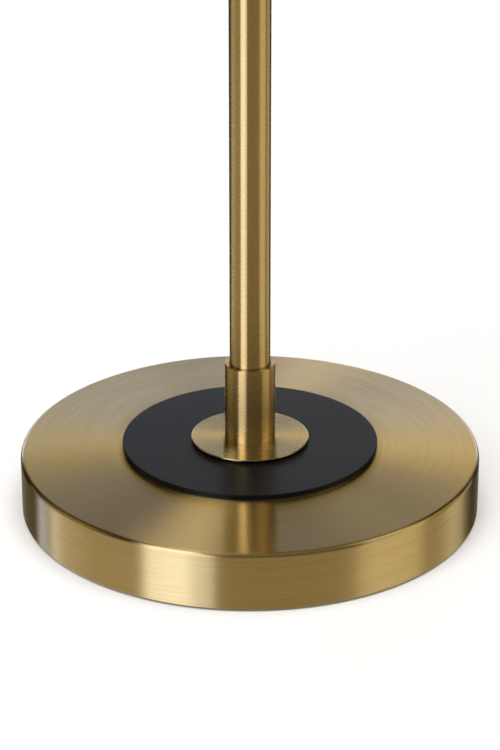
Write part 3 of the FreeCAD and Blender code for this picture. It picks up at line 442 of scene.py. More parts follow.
def calc(tree, operation, one, two=0.0):
    return add(tree, "ShaderNodeMath", {0: one, 1: two}, operation=operation).outputs[0]


def span(tree, value, start, end, low_value=0.0, high_value=1.0):
    """Smooth step of a value from one range to another."""
    made = add(tree, "ShaderNodeMapRange", {"Value": value, "From Min": start, "From Max": end,
                                            "To Min": low_value, "To Max": high_value},
               interpolation_type="SMOOTHSTEP")
    return made.outputs["Result"]


def blend_colours(tree, amount, one, two):
    made = add(tree, "ShaderNodeMix", {"Factor": amount}, data_type="RGBA")
    for socket, value in ((made.inputs[6], one), (made.inputs[7], two)):
        if isinstance(value, bpy.types.NodeSocket):
            tree.links.new(value, socket)
        else:
            socket.default_value = (*value, 1.0)
    return made.outputs[2]


def shader_group(name, inputs, outputs):
    """The group of that name, and its input and output nodes when it is new."""
    if name in bpy.data.node_groups:
        return bpy.data.node_groups[name], None, None
    tree = bpy.data.node_groups.new(name, "ShaderNodeTree")
    for label, kind in inputs:
        tree.interface.new_socket(label, in_out="INPUT", socket_type=kind)
    for label, kind in outputs:
        tree.interface.new_socket(label, in_out="OUTPUT", socket_type=kind)
    return tree, tree.nodes.new("NodeGroupInput"), tree.nodes.new("NodeGroupOutput")


def brushing_group():
    """Lines left by brushing. Along runs across the lines, Around runs with them; both are in metres."""
    tree, entry, end = shader_group(
        "brushing",
        [("Along", "NodeSocketFloat"), ("Around", "NodeSocketVector"), ("Pitch", "NodeSocketFloat"),
         ("Streak Pitch", "NodeSocketFloat"), ("Wander", "NodeSocketFloat")],
        [("Lines", "NodeSocketFloat"), ("Streaks", "NodeSocketFloat")])
    if entry is None:
        return tree
    parts = add(tree, "ShaderNodeSeparateXYZ", {0: entry.outputs["Around"]})
    ways = [calc(tree, "MULTIPLY", parts.outputs[i], entry.outputs["Wander"]) for i in (0, 1)]
    for pitch, output in (("Pitch", "Lines"), ("Streak Pitch", "Streaks")):
        across = calc(tree, "DIVIDE", entry.outputs["Along"], entry.outputs[pitch])
        spot = add(tree, "ShaderNodeCombineXYZ",
                   {"X": across, "Y": ways[0], "Z": ways[1]})
        noise = add(tree, "ShaderNodeTexNoise",
                    {"Vector": spot.outputs[0], "Scale": 1.0, "Detail": 2.0, "Roughness": 0.6})
        tree.links.new(noise.outputs["Fac"], end.inputs[output])
    return tree


def patches_group():
    """Slow, cloudy variation, as handling and age leave on a surface."""
    tree, entry, end = shader_group(
        "patches", [("Position", "NodeSocketVector"), ("Size", "NodeSocketFloat")], [("Tone", "NodeSocketFloat")])
    if entry is None:
        return tree
    near = add(tree, "ShaderNodeVectorMath", {0: entry.outputs["Position"]}, operation="SCALE")
    tree.links.new(calc(tree, "DIVIDE", 1.0, entry.outputs["Size"]), near.inputs["Scale"])
    cloud = add(tree, "ShaderNodeTexNoise",
                {"Vector": near.outputs[0], "Scale": 1.0, "Detail": 3.0, "Roughness": 0.5, "Distortion": 0.4})
    tree.links.new(span(tree, cloud.outputs["Fac"], 0.3, 0.7), end.inputs["Tone"])
    return tree


def orange_peel_group():
    """Fine pebbled height of sprayed enamel or moulded plastic."""
    tree, entry, end = shader_group(
        "orange_peel", [("Position", "NodeSocketVector"), ("Size", "NodeSocketFloat")],
        [("Height", "NodeSocketFloat")])
    if entry is None:
        return tree
    near = add(tree, "ShaderNodeVectorMath", {0: entry.outputs["Position"]}, operation="SCALE")
    tree.links.new(calc(tree, "DIVIDE", 1.0, entry.outputs["Size"]), near.inputs["Scale"])
    pebbles = add(tree, "ShaderNodeTexNoise", {"Vector": near.outputs[0], "Scale": 1.0, "Detail": 3.0})
    tree.links.new(pebbles.outputs["Fac"], end.inputs["Height"])
    return tree


def group_node(tree, group, inputs):
    return add(tree, "ShaderNodeGroup", inputs, node_tree=group)


def surface(tree, position, pebble, patch):
    """Fine pebbled height and slow cloudy tone, each at its own size."""
    peel = group_node(tree, orange_peel_group(), {"Position": position, "Size": pebble})
    patches = group_node(tree, patches_group(), {"Position": position, "Size": patch})
    return peel.outputs["Height"], patches.outputs["Tone"]


def new_material(name):
    """Material with a Principled BSDF, and its tree, shader node and Object position."""
    material = bpy.data.materials.new(name)
    material.use_nodes = True
    tree = material.node_tree
    shader = tree.nodes["Principled BSDF"]
    position = add(tree, "ShaderNodeTexCoord").outputs["Object"]
    return material, tree, shader, position


def bump(tree, shader, height, distance, strength=1.0, normal=None):
    made = add(tree, "ShaderNodeBump", {"Height": height, "Distance": distance, "Strength": strength})
    if normal is not None:
        tree.links.new(normal, made.inputs["Normal"])
    tree.links.new(made.outputs[0], shader.inputs["Normal"])
    return made.outputs[0]


# ---- finishes -----------------------------------------------------------------------------------
def brushed_brass(name, at=POLE_AXIS, axis="Z", rough=None, painted_warm_reflection=0.0, streaks=1.0, wander=0.5):
    """Brass brushed in rings round an axis through `at`."""
    material, tree, shader, position = new_material(name)
    near = add(tree, "ShaderNodeVectorMath", {0: position, 1: at}, operation="SUBTRACT").outputs[0]
    xyz = add(tree, "ShaderNodeSeparateXYZ", {0: near})
    x, y, z = (xyz.outputs[i] for i in range(3))
    one, two, along = {"Z": (x, y, z), "X": (y, z, x), "Y": (z, x, y)}[axis]
    reach = calc(tree, "SQRT", calc(tree, "ADD", calc(tree, "MULTIPLY", one, one), calc(tree, "MULTIPLY", two, two)))
    safe_reach = calc(tree, "MAXIMUM", reach, 1e-5)
    around = add(tree, "ShaderNodeCombineXYZ", {"X": calc(tree, "DIVIDE", one, safe_reach),
                                                "Y": calc(tree, "DIVIDE", two, safe_reach)}).outputs[0]
    back = calc(tree, "MULTIPLY", two, -1.0)
    slots = {"Z": ("X", "Y"), "X": ("Y", "Z"), "Y": ("Z", "X")}[axis]
    ring_way = add(tree, "ShaderNodeCombineXYZ", {slots[0]: back, slots[1]: one}).outputs[0]
    brush_way(tree, shader, ring_way, quarter_turn=True)
    across = calc(tree, "ADD", reach, along)
    dress_brass(tree, shader, near, across, around, rough, painted_warm_reflection, streaks, wander)
    return material


def brush_way(tree, shader, direction, quarter_turn):
    """Sends a direction in object space to the shader's tangent."""
    turned_way = add(tree, "ShaderNodeVectorTransform", {0: direction}, vector_type="VECTOR",
                     convert_from="OBJECT", convert_to="WORLD").outputs[0]
    unit = add(tree, "ShaderNodeVectorMath", {0: turned_way}, operation="NORMALIZE").outputs[0]
    tree.links.new(unit, shader.inputs["Tangent"])
    shader.inputs["Anisotropic"].default_value = colours().brass_stretch
    shader.inputs["Anisotropic Rotation"].default_value = 0.25 if quarter_turn else 0.0


def dress_brass(tree, shader, near, across, around, rough, painted_warm_reflection, streaks, wander):
    """Colour, roughness and relief of brushed brass. The amount of even deep brass is painted warm reflected light:
    it makes the whole finish darker and redder; more wander makes shorter strokes.
    """
    look = colours()
    lines = group_node(tree, brushing_group(), {"Along": across, "Around": around, "Pitch": look.grain_pitch,
                                                "Streak Pitch": look.streak_pitch, "Wander": wander})
    patches = group_node(tree, patches_group(), {"Position": near, "Size": 0.09})
    base_rough = look.brass_rough if rough is None else rough
    # depth adds the random patches to an even share of deep brass, and that even share is painted warm reflected
    # light.
    depth = calc(tree, "ADD", calc(tree, "MULTIPLY", patches.outputs["Tone"], 0.22), painted_warm_reflection)
    grooves = span(tree, lines.outputs["Streaks"], 0.34, 0.66, 0.0, 0.26 * streaks)
    mixed = calc(tree, "ADD", depth, grooves)
    tree.links.new(blend_colours(tree, mixed, tuple(look.brass), tuple(look.brass_deep)),
                   shader.inputs["Base Color"])
    fine = span(tree, lines.outputs["Lines"], 0.25, 0.75, base_rough - 0.01, base_rough + 0.01)
    broad = span(tree, lines.outputs["Streaks"], 0.3, 0.7, -0.01 * streaks, 0.01 * streaks)
    tree.links.new(calc(tree, "ADD", fine, broad), shader.inputs["Roughness"])
    shader.inputs["Metallic"].default_value = 1.0
    relief = add(tree, "ShaderNodeBump",
                 {"Height": lines.outputs["Streaks"], "Distance": 0.0008 * MM * streaks, "Strength": 1.0})
    bump(tree, shader, lines.outputs["Lines"], 0.0006 * MM * streaks, normal=relief.outputs[0])


def arm_brass():
    """Brass brushed in rings round the bent arm."""
    material, tree, shader, position = new_material("brass_arm")
    reach = HEAD_AXIS.x / 2
    bend_z = high("arc_arm").z - radius_of_arm() - reach
    xyz = add(tree, "ShaderNodeSeparateXYZ", {0: position})
    over = calc(tree, "SUBTRACT", xyz.outputs[0], reach)
    rise = calc(tree, "MAXIMUM", calc(tree, "SUBTRACT", xyz.outputs[2], bend_z), 0.0)
    way = add(tree, "ShaderNodeCombineXYZ", {"X": calc(tree, "MULTIPLY", rise, -1.0), "Z": over}).outputs[0]
    brush_way(tree, shader, way, quarter_turn=False)
    swing = calc(tree, "MULTIPLY", calc(tree, "ARCTAN2", rise, over), reach)
    drop = calc(tree, "MINIMUM", calc(tree, "SUBTRACT", xyz.outputs[2], bend_z), 0.0)
    across = calc(tree, "ADD", swing, drop)
    middle_line = calc(tree, "SQRT", calc(tree, "ADD", calc(tree, "MULTIPLY", over, over),
                                          calc(tree, "MULTIPLY", rise, rise)))
    out = calc(tree, "DIVIDE", calc(tree, "SUBTRACT", middle_line, reach), radius_of_arm())
    side = calc(tree, "DIVIDE", xyz.outputs[1], radius_of_arm())
    around = add(tree, "ShaderNodeCombineXYZ", {"X": out, "Y": side}).outputs[0]
    # The 0.35 of even deep brass is painted warm reflected light, as on the pole.
    dress_brass(tree, shader, position, across, around, None, 0.35, 0.3, 0.5)
    return material


def radius_of_arm():
    return (high("arc_arm").y - low("arc_arm").y) / 2


def plain_brass(name, size=0.03, rough=0.3):
    """Lightly satin brass for small pieces with no one direction of brushing."""
    material, tree, shader, position = new_material(name)
    look = colours()
    pebbles, tone = surface(tree, position, 0.25 * MM, size)
    tree.links.new(blend_colours(tree, calc(tree, "MULTIPLY", tone, 0.5), tuple(look.brass), tuple(look.brass_deep)),
                   shader.inputs["Base Color"])
    tree.links.new(span(tree, tone, 0.0, 1.0, rough - 0.04, rough + 0.05), shader.inputs["Roughness"])
    shader.inputs["Metallic"].default_value = 1.0
    bump(tree, shader, pebbles, 0.003 * MM)
    return material


def enamel():
    """Satin black enamel with a fine sprayed texture."""
    material, tree, shader, position = new_material("black_enamel")
    look = colours()
    pebbles, tone = surface(tree, position, 0.45 * MM, 0.05)
    tree.links.new(blend_colours(tree, tone, tuple(look.black), tuple(Vector(look.black) * 1.7)),
                   shader.inputs["Base Color"])
    tree.links.new(span(tree, pebbles, 0.3, 0.7, look.black_rough - 0.05, look.black_rough + 0.06),
                   shader.inputs["Roughness"])
    shader.inputs["Specular IOR Level"].default_value = 0.2
    bump(tree, shader, pebbles, 0.012 * MM, 0.6)
    return material


def moulded(name, tint, rough, depth=0.01 * MM, spread=1.25):
    """Moulded plastic, steatite or rubber."""
    material, tree, shader, position = new_material(name)
    pebbles, tone = surface(tree, position, 0.4 * MM, 0.02)
    lighter = tuple(min(1.0, c * spread) for c in tint)
    tree.links.new(blend_colours(tree, tone, tint, lighter), shader.inputs["Base Color"])
    tree.links.new(span(tree, pebbles, 0.3, 0.7, rough - 0.04, rough + 0.05), shader.inputs["Roughness"])
    bump(tree, shader, pebbles, depth)
    return material


def plated(name, tint, rough):
    """Plated or oxidised steel and bright metal."""
    material, tree, shader, position = new_material(name)
    pebbles, tone = surface(tree, position, 0.3 * MM, 0.012)
    deeper = tuple(c * 0.78 for c in tint)
    tree.links.new(blend_colours(tree, tone, tint, deeper), shader.inputs["Base Color"])
    tree.links.new(span(tree, tone, 0.0, 1.0, rough - 0.05, rough + 0.08), shader.inputs["Roughness"])
    shader.inputs["Metallic"].default_value = 1.0
    bump(tree, shader, pebbles, 0.004 * MM)
    return material


def felt():
    """Short-napped black felt."""
    material, tree, shader, position = new_material("felt_nap")
    peel = group_node(tree, orange_peel_group(), {"Position": position, "Size": 0.8 * MM})
    fuzz = add(tree, "ShaderNodeTexNoise", {"Vector": position, "Scale": 900.0, "Detail": 4.0, "Distortion": 1.5})
    nap = calc(tree, "ADD", calc(tree, "MULTIPLY", peel.outputs[0], 0.5), fuzz.outputs["Fac"])
    tree.links.new(blend_colours(tree, fuzz.outputs["Fac"], (0.018, 0.018, 0.019), (0.06, 0.058, 0.056)),
                   shader.inputs["Base Color"])
    shader.inputs["Roughness"].default_value = 0.95
    shader.inputs["Sheen Weight"].default_value = 0.3
    bump(tree, shader, nap, 0.15 * MM)
    return material


def frosted_glass():
    """Thin glass, etched inside so that it looks white and soft."""
    material, tree, shader, position = new_material("frosted_bulb_glass")
    pebbles, tone = surface(tree, position, 1.2 * MM, 0.03)
    tree.links.new(blend_colours(tree, tone, (0.93, 0.925, 0.9), (0.87, 0.865, 0.84)), shader.inputs["Base Color"])
    tree.links.new(span(tree, pebbles, 0.3, 0.7, 0.12, 0.18), shader.inputs["Roughness"])
    shader.inputs["Subsurface Weight"].default_value = 0.6
    shader.inputs["Subsurface Radius"].default_value = (0.02, 0.02, 0.02)
    shader.inputs["Coat Weight"].default_value = 0.5
    shader.inputs["Coat Roughness"].default_value = 0.05
    bump(tree, shader, pebbles, 0.004 * MM)
    return material


def cast_iron():
    """Rough sand-cast iron, lightly rusted in patches."""
    material, tree, shader, position = new_material("sand_cast_iron")
    pebbles, tone = surface(tree, position, 1.6 * MM, 0.03)
    tree.links.new(blend_colours(tree, tone, (0.09, 0.088, 0.085), (0.14, 0.115, 0.095)), shader.inputs["Base Color"])
    shader.inputs["Metallic"].default_value = 0.6
    tree.links.new(span(tree, pebbles, 0.2, 0.8, 0.62, 0.8), shader.inputs["Roughness"])
    bump(tree, shader, pebbles, 0.25 * MM)
    return material


FINISHES = {
    # Deep amounts above zero are painted warm reflected light: they make the pole, flange, head, knob, switch and
    # shade-inside brass darker and redder than the base brass.
    "pole_brass": lambda: brushed_brass("brass_pole", painted_warm_reflection=0.35, streaks=0.3),
    "base_brass": lambda: brushed_brass("brass_base", rough=0.255, streaks=1.0, wander=2.5),
    "flange_brass": lambda: brushed_brass("brass_flange", rough=0.27, painted_warm_reflection=0.1, streaks=0.25, wander=0.8),
    "head_brass": lambda: brushed_brass("brass_head", HEAD_AXIS, painted_warm_reflection=0.35, streaks=0.3),
    "knob_brass": lambda: brushed_brass("brass_knob", PIVOT, "Y", rough=0.28, painted_warm_reflection=0.3, streaks=0.4),
    "switch_brass": lambda: brushed_brass("brass_switch", SWITCH, "X", rough=0.28, painted_warm_reflection=0.3, streaks=0.4),
    "shade_brass": lambda: brushed_brass("brass_shade_inside", HEAD_AXIS, rough=0.4, painted_warm_reflection=0.2, streaks=0.8,
                                         wander=2.0),
    "arm_brass": arm_brass,
    "brushed_brass": lambda: plain_brass("brass_satin"),
    "contact_brass": lambda: plain_brass("brass_contact", size=0.01, rough=0.22),
    "black_satin": enamel,
    "ballast_iron": cast_iron,
    "zinc_steel": lambda: plated("zinc_plate", (0.62, 0.63, 0.62), 0.34),
    "dark_screw": lambda: plated("black_oxide", (0.07, 0.07, 0.075), 0.4),
    "felt": felt,
    "black_nylon": lambda: moulded("nylon_black", (0.022, 0.022, 0.022), 0.5),
    "black_phenolic": lambda: moulded("phenolic_black", (0.016, 0.015, 0.014), 0.28, depth=0.004 * MM),
    "white_moulding": lambda: moulded("steatite_white", (0.72, 0.70, 0.64), 0.55, spread=1.12),
    "flex_sheath": lambda: moulded("sheath_black", (0.02, 0.02, 0.02), 0.55),
    "frosted_glass": frosted_glass,
    "cap_aluminium": lambda: plated("cap_metal", (0.78, 0.77, 0.74), 0.25),
}
_made = {}


def coat(name):
    """The finish of that name, made once."""
    if name not in _made:
        _made[name] = FINISHES[name]()
    return _made[name]


# ---- pieces of the stand ------------------------------------------------------------------------
def make_base():
    size = sizes()
    shell = "base_shell"
    r, top, foot = radius_of(shell), high(shell).z, low(shell).z
    edge_z = top - size.base_crown
    flat = radius_of("accent_disc") + size.crown_margin
    wall, inner = size.shell_wall, r - size.shell_wall
    hem = wall * 0.45
    outline = [
        (size.centre_hole, top), (flat, top, size.crown_blend), (r, edge_z, size.base_edge), (r, foot, hem),
        (inner, foot, hem), (inner, edge_z - wall, size.base_edge - wall),
        (flat, top - wall, size.crown_blend), (size.centre_hole, top - wall),
    ]
    piece = turned("base_shell_spun", outline, steps=12)
    inlet = middle("inlet_bushing")
    bored(piece, size.inlet_hole, Vector((0, inner - 4 * MM, inlet.z)), Vector((0, r + 4 * MM, inlet.z)))
    return finish(smooth(piece), coat("base_brass"), shell)


def make_pad():
    pad = "base_pad"
    r, top, foot = radius_of(pad), high(pad).z, low(pad).z
    outline = [(0, foot), (r, foot, sizes().pad_edge), (r, top, 0.3 * MM), (0, top)]
    return finish(smooth(turned("felt_pad", outline)), coat("felt"), pad)


def make_disc():
    size = sizes()
    disc = "accent_disc"
    r, top, foot = radius_of(disc), high(disc).z, low(disc).z
    outline = [
        (size.centre_hole, foot), (r, foot, size.disc_edge * 0.6), (r, top, size.disc_edge),
        (size.centre_hole, top),
    ]
    return finish(smooth(turned("black_disc", outline)), coat("black_satin"), disc)


def make_flange():
    size = sizes()
    flange = "pole_flange"
    r, top, foot = radius_of(flange), high(flange).z, low(flange).z
    lip = top - size.flange_lip
    outline = [
        (size.centre_hole, foot), (size.flange_boss, foot), (size.flange_boss, lip, 0.2 * MM),
        (r, lip, 0.25 * MM), (r, top, 0.45 * MM), (size.centre_hole, top),
    ]
    return finish(smooth(turned("turned_flange", outline)), coat("flange_brass"), flange)


def collar(name, node, outline, screw_node):
    """Sleeve with a hole at the back over its screw."""
    piece = turned(name, outline, segments=sizes().small_segments * 2)
    z = middle(screw_node).z
    bored(piece, sizes().screw_hole, Vector((0, 10 * MM, z)), Vector((0, 22 * MM, z)))
    return finish(smooth(piece), coat("pole_brass"), node)


def make_collars():
    size = sizes()
    edge, bore = size.small_edge, radius_of("pole_lower") + size.loose
    foot, top, r = low("base_collar").z, high("base_collar").z, radius_of("base_collar")
    collar("foot_collar", "base_collar", [
        (bore, foot), (r, foot, edge * 0.5), (r, top, edge), (bore, top, edge),
    ], "base_collar_screw")
    foot, top = low("top_collar").z, high("top_collar").z
    lip_bore, lip_z = radius_of_arm() + size.loose, high("swivel_bush").z + 0.3 * MM
    collar("swivel_collar", "top_collar", [
        (bore, foot, edge), (r, foot, edge), (r, top, edge), (lip_bore, top, edge), (lip_bore, lip_z), (bore, lip_z),
    ], "top_collar_screw")


def make_pole():
    size = sizes()
    for node, seam_at_top in (("pole_lower", True), ("pole_upper", False)):
        r, foot, top = radius_of(node), low(node).z, high(node).z
        bore, chamfer = r - size.tube_wall, size.seam
        if seam_at_top:
            outline = [(bore, foot), (r, foot), (r, top - chamfer), (r - chamfer, top), (bore, top)]
        else:
            outline = [(bore, foot), (r - chamfer, foot), (r, foot + chamfer), (r, top), (bore, top)]
        piece = turned(node + "_tube", outline, segments=size.small_segments * 2)
        finish(smooth(piece), coat("pole_brass"), node)


def make_inlet():
    """Bushing with a softly rounded mouth."""
    return softened("inlet_bushing", 0.25 * MM, coat("black_nylon"))


# ---- pieces of the arm --------------------------------------------------------------------------
def make_arm():
    """Bent tube: up from the collar, over a half circle and down to the knuckle."""
    arm_radius = radius_of_arm()
    reach = HEAD_AXIS.x / 2
    bend_z = high("arc_arm").z - arm_radius - reach
    foot, tip = low("arc_arm").z, high("knuckle_fork").z - sizes().arm_overlap
    points = [Vector((0, 0, foot)), Vector((0, 0, (foot + bend_z) / 2))]
    for i in range(ARM_STEPS + 1):
        angle = math.pi * (1 - i / ARM_STEPS)
        points.append(Vector((reach + reach * math.cos(angle), 0, bend_z + reach * math.sin(angle))))
    points.append(Vector((2 * reach, 0, tip)))
    mesh = bpy.data.meshes.new("arm_line")
    mesh.from_pydata(points, [(i, i + 1) for i in range(len(points) - 1)], [])
    piece = new_object("arched_arm", mesh)
    with_tree(piece, swept_tube_tree(), radius=arm_radius, sides=sizes().small_segments, material=coat("arm_brass"))
    return finish(smooth(piece), None, "arc_arm")


def make_knuckle():
    softened("knuckle_fork", 0.5 * MM, coat("head_brass"))
    softened("knuckle_tongue", 0.4 * MM, coat("head_brass"))
    softened("pivot_bolt", 0.15 * MM, coat("knob_brass"))
    softened("friction_washers", 0.08 * MM, coat("black_nylon"), 2)


def make_tilt_knob():
    """Knob with a ribbed grip and a domed face."""
    size = sizes()
    start, end = low("tilt_knob"), high("tilt_knob")
    near, far, r = -end.y, -start.y, (end.x - start.x) / 2
    body_r = r - size.rib_radius
    hub = size.small_edge
    outline = [
        (size.knob_bore, near), (body_r, near, hub), (body_r, far, 1.2 * MM), (body_r * 0.62, far),
        (body_r * 0.55, far - 0.35 * MM), (0, far - 0.35 * MM), (0, far - 1.5 * MM), (size.knob_bore, far - 1.5 * MM),
    ]
    body_mesh = turned_mesh("tilt_knob_body", rounded(outline), size.small_segments)
    rib_outline = [(0, near + 1.2 * MM), (size.rib_radius, near + 1.2 * MM, 0.3 * MM),
                   (size.rib_radius, far - 1.6 * MM, 0.3 * MM), (0, far - 1.6 * MM)]
    ribs = new_object("tilt_knob_ribs", turned_mesh("tilt_knob_rib", rounded(rib_outline, 4), 12))
    with_tree(ribs, ring_of_pieces_tree(), count=size.ribs, radius=body_r, material=coat("knob_brass"))
    body = new_object("tilt_knob_grip", body_mesh)
    centre = Vector((PIVOT.x, 0, PIVOT.z))
    for piece in (body, ribs):
        piece.data.transform(place(centre, "-Y"))
        smooth(piece)
    finish(body, coat("knob_brass"), "tilt_knob")
    finish(ribs, coat("knob_brass"), body="tilt_knob", slot=slot_of("tilt_knob"))


# ---- pieces of the head -------------------------------------------------------------------------
def make_cup():
    size = sizes()
    cup = "holder_cup"
    r, top, foot = radius_of(cup), high(cup).z, low(cup).z
    wall, hole = size.cup_wall, size.wire_hole
    outline = [
        (hole, top), (r, top, size.cup_edge), (r, foot, 0.3 * MM), (r - wall, foot, 0.3 * MM),
        (r - wall, top - wall, size.cup_edge - wall), (hole, top - wall),
    ]
    piece = turned("lampholder_cup", outline, HEAD_AXIS, segments=size.small_segments * 2)
    start = Vector((SWITCH.x + r - 5 * MM, 0, SWITCH.z))
    bored(piece, size.switch_hole, start, start + Vector((10 * MM, 0, 0)))
    return finish(smooth(piece), coat("head_brass"), cup)


def make_switch():
    softened("switch_nut", 0.2 * MM, coat("switch_brass"))
    softened("switch_body", 0.3 * MM, coat("black_nylon"))
    softened("switch_knob", 0.5 * MM, coat("switch_brass"))


def make_shade():
    """Spun dome, black outside and brass inside, with a rolled bead round its mouth."""
    size = sizes()
    r = radius_of("shade")
    top, mouth = high("shade").z, low("shade").z
    wall, bead = size.shade_wall, size.shade_bead
    dome = r - size.shade_land
    hole = size.shade_hole
    outline = [(hole, top), (r, top, dome), (r, mouth + 2.2 * bead)]
    outer = rounded(outline, 40, closed=False)
    bead_centre = Vector((r - bead, mouth + bead))
    roll = [tuple(bead_centre + bead * Vector((math.cos(a), math.sin(a))))
            for a in (math.radians(60 - 25 * i) for i in range(13))]
    inner = rounded([(r - wall, mouth + 2.2 * bead), (r - wall, top - wall, dome - wall), (hole, top - wall)],
                    40, closed=False)
    outline = outer + roll + inner
    mesh = turned_mesh("dome_shade", outline, size.segments)
    mesh.transform(place(HEAD_AXIS))
    piece = new_object("dome_shade", mesh)
    finish(smooth(piece), coat("black_satin"), "shade")
    mesh.materials.append(coat("shade_brass"))
    rings_outside = len(outer) + len(roll) // 2
    for face in mesh.polygons:
        face.material_index = int(face.index // size.segments >= rings_outside)
    return piece


def make_shade_ring():
    """Ring with grips round its edge, screwed up under the shade."""
    size = sizes()
    ring = "shade_ring"
    r, top, foot = radius_of(ring), high(ring).z, low(ring).z
    grip = size.ring_grip
    body_r, bore = r - grip, size.ring_bore
    outline = [(bore, top), (body_r, top), (body_r, foot, 1.0 * MM), (bore, foot, 0.6 * MM)]
    piece = turned("shade_ring_body", outline, HEAD_AXIS, segments=size.small_segments)
    finish(smooth(piece), coat("black_phenolic"), ring)
    grip_outline = [(0, foot + 0.3 * MM), (grip, foot + 0.3 * MM, 0.5 * MM), (grip, top, 0.4 * MM), (0, top)]
    grips = new_object("shade_ring_grips", turned_mesh("shade_ring_grip", rounded(grip_outline, 4), 16))
    with_tree(grips, ring_of_pieces_tree(), count=size.ring_grips, radius=body_r,
              material=coat("black_phenolic"))
    grips.data.transform(place(HEAD_AXIS))
    finish(smooth(grips), coat("black_phenolic"), body="head", slot=slot_of(ring))


def thread_wave(angle, z, pitch):
    """0 at the root and 1 on the crest of a rounded thread."""
    return 0.5 - 0.5 * math.cos(FULL_TURN * (z / pitch - angle / FULL_TURN))


def stepped(r, start, end, steps):
    return [(r, start + (end - start) * i / steps) for i in range(steps + 1)]


def make_bulb():
    size = sizes()
    glass = "bulb_glass"
    belly, foot, neck_top = radius_of(glass), low(glass).z, high(glass).z
    neck = size.bulb_neck
    outline = [
        (0, neck_top), (neck, neck_top), (neck, neck_top - 0.3 * belly, belly),
        (belly, foot + 1.45 * belly, belly / 2), (belly, foot, belly * 0.999), (0, foot),
    ]
    globe = turned("bulb_globe", outline, HEAD_AXIS, segments=size.small_segments, steps=20)
    finish(smooth(globe), coat("frosted_glass"), glass)
    crest, start, end = radius_of("bulb_cap"), low("bulb_cap").z, high("bulb_cap").z
    root = crest - size.thread_depth
    outline = stepped(root, start, end, 72) + [(root - 0.5 * MM, end), (root - 0.5 * MM, start)]
    turns = (start + 1.6 * MM, end - 1.0 * MM)

    def swing(angle, r, z):
        if r < root - 1e-6 or not turns[0] < z < turns[1]:
            return r
        ends = min(1.0, (z - turns[0]) / (1.5 * MM), (turns[1] - z) / (1.5 * MM))
        return r + size.thread_depth * ends * thread_wave(angle, z, size.thread_pitch)

    cap = turned("bulb_screw_cap", outline, HEAD_AXIS, segments=size.small_segments, swing=swing)
    finish(smooth(cap, math.radians(60)), coat("cap_aluminium"), "bulb_cap")


def make_lampholder():
    """Moulded holder with the ring's thread on its skirt."""
    size = sizes()
    body = "lampholder_body"
    top, foot, shoulder_r = high(body).z, low(body).z, radius_of(body)
    r, bore, hole = size.holder_skirt, size.holder_bore, size.wire_hole
    shoulder = low("holder_cup").z
    roof = top - 4.0 * MM
    pitch, depth = size.skirt_pitch, size.skirt_depth
    skirt = stepped(r - depth, shoulder - 1 * MM, foot + 1 * MM, 60)
    outline = rounded([
        (hole, top), (r, top, 1.5 * MM), (r, shoulder + 2.5 * MM), (shoulder_r, shoulder + 2.5 * MM, 0.4 * MM),
        (shoulder_r, shoulder), (r, shoulder)], 8, closed=False)
    outline += skirt + [(r - 2 * depth, foot), (bore, foot), (bore, roof), (hole, roof)]

    def swing(angle, radius, z):
        on_skirt = abs(radius - (r - depth)) < 1e-6 and z < shoulder
        return radius + depth * thread_wave(angle, z, pitch) if on_skirt else radius

    piece = turned_mesh("lampholder_moulding", outline, size.small_segments, swing)
    piece.transform(place(HEAD_AXIS))
    holder = new_object("lampholder_moulding", piece)
    finish(smooth(holder, math.radians(50)), coat("black_phenolic"), body)
    shell = "screw_shell"
    start, end = low(shell).z, high(shell).z
    bore, wall, rim = size.screw_shell_bore, size.screw_shell_wall, radius_of(shell)
    steps = 80
    inner, outer = stepped(bore, start, end - wall, steps), stepped(bore + wall, end - wall, start, steps)
    outline = inner[:-1] + [(bore, end), (rim, end), (rim, end - wall)] + outer

    def roll(angle, radius, z):
        return radius if z > end - 2 * MM or radius > bore + 2 * wall else (
            radius + size.skirt_depth * thread_wave(angle, z, size.thread_pitch))

    mesh = turned_mesh("screw_shell_rolled", outline, size.small_segments, roll)
    mesh.transform(place(HEAD_AXIS))
    finish(smooth(new_object("screw_shell_rolled", mesh), math.radians(50)), coat("contact_brass"), shell)


def make_inner_parts():
    """Fittings that keep the CAD shape, finished in the materials of their slots."""
    for node, piece in frame["nodes"].items():
        if piece.hide_render:
            continue
        piece.data.materials.clear()
        piece.data.materials.append(coat(slot_of(node)))


# ---- stage --------------------------------------------------------------------------------------
def make_camera():
    stage = bpy.context.scene.lamp_stage
    aim = Vector((0, 0, stage.aim_height))
    back = Vector((0, -math.cos(stage.elevation), math.sin(stage.elevation)))
    data = bpy.data.cameras.new("studio_camera")
    data.lens = stage.lens
    data.sensor_width = 36
    camera = new_object("studio_camera", data)
    camera.location = aim + back * stage.distance
    camera.rotation_mode = "QUATERNION"
    camera.rotation_quaternion = (-back).to_track_quat("-Z", "Y")
    bpy.context.scene.camera = camera


def make_floor():
    stage = bpy.context.scene.lamp_stage
    mesh = bpy.data.meshes.new("studio_floor")
    sheet = bmesh.new()
    bmesh.ops.create_circle(sheet, cap_ends=True, segments=96, radius=30.0,
                            matrix=Matrix.Translation((0, 0, -0.3 * MM)))
    for face in sheet.faces:
        face.normal_update()
        if face.normal.z < 0:
            face.normal_flip()
    sheet.to_mesh(mesh)
    sheet.free()
    floor = new_object("studio_floor", mesh)
    material, tree, shader, position = new_material("floor_paint")
    patches = group_node(tree, patches_group(), {"Position": position, "Size": 0.7})
    pale = tuple(stage.floor)
    tree.links.new(blend_colours(tree, patches.outputs["Tone"], pale, tuple(c * 0.985 for c in pale)),
                   shader.inputs["Base Color"])
    shader.inputs["Roughness"].default_value = 0.9
    shader.inputs["Specular IOR Level"].default_value = 0.2
    under = add(tree, "ShaderNodeNewGeometry").outputs["Backfacing"]
    tree.links.new(calc(tree, "SUBTRACT", 1.0, under), shader.inputs["Alpha"])
    floor.data.materials.append(material)
    floor.visible_glossy = False
    floor.visible_shadow = False


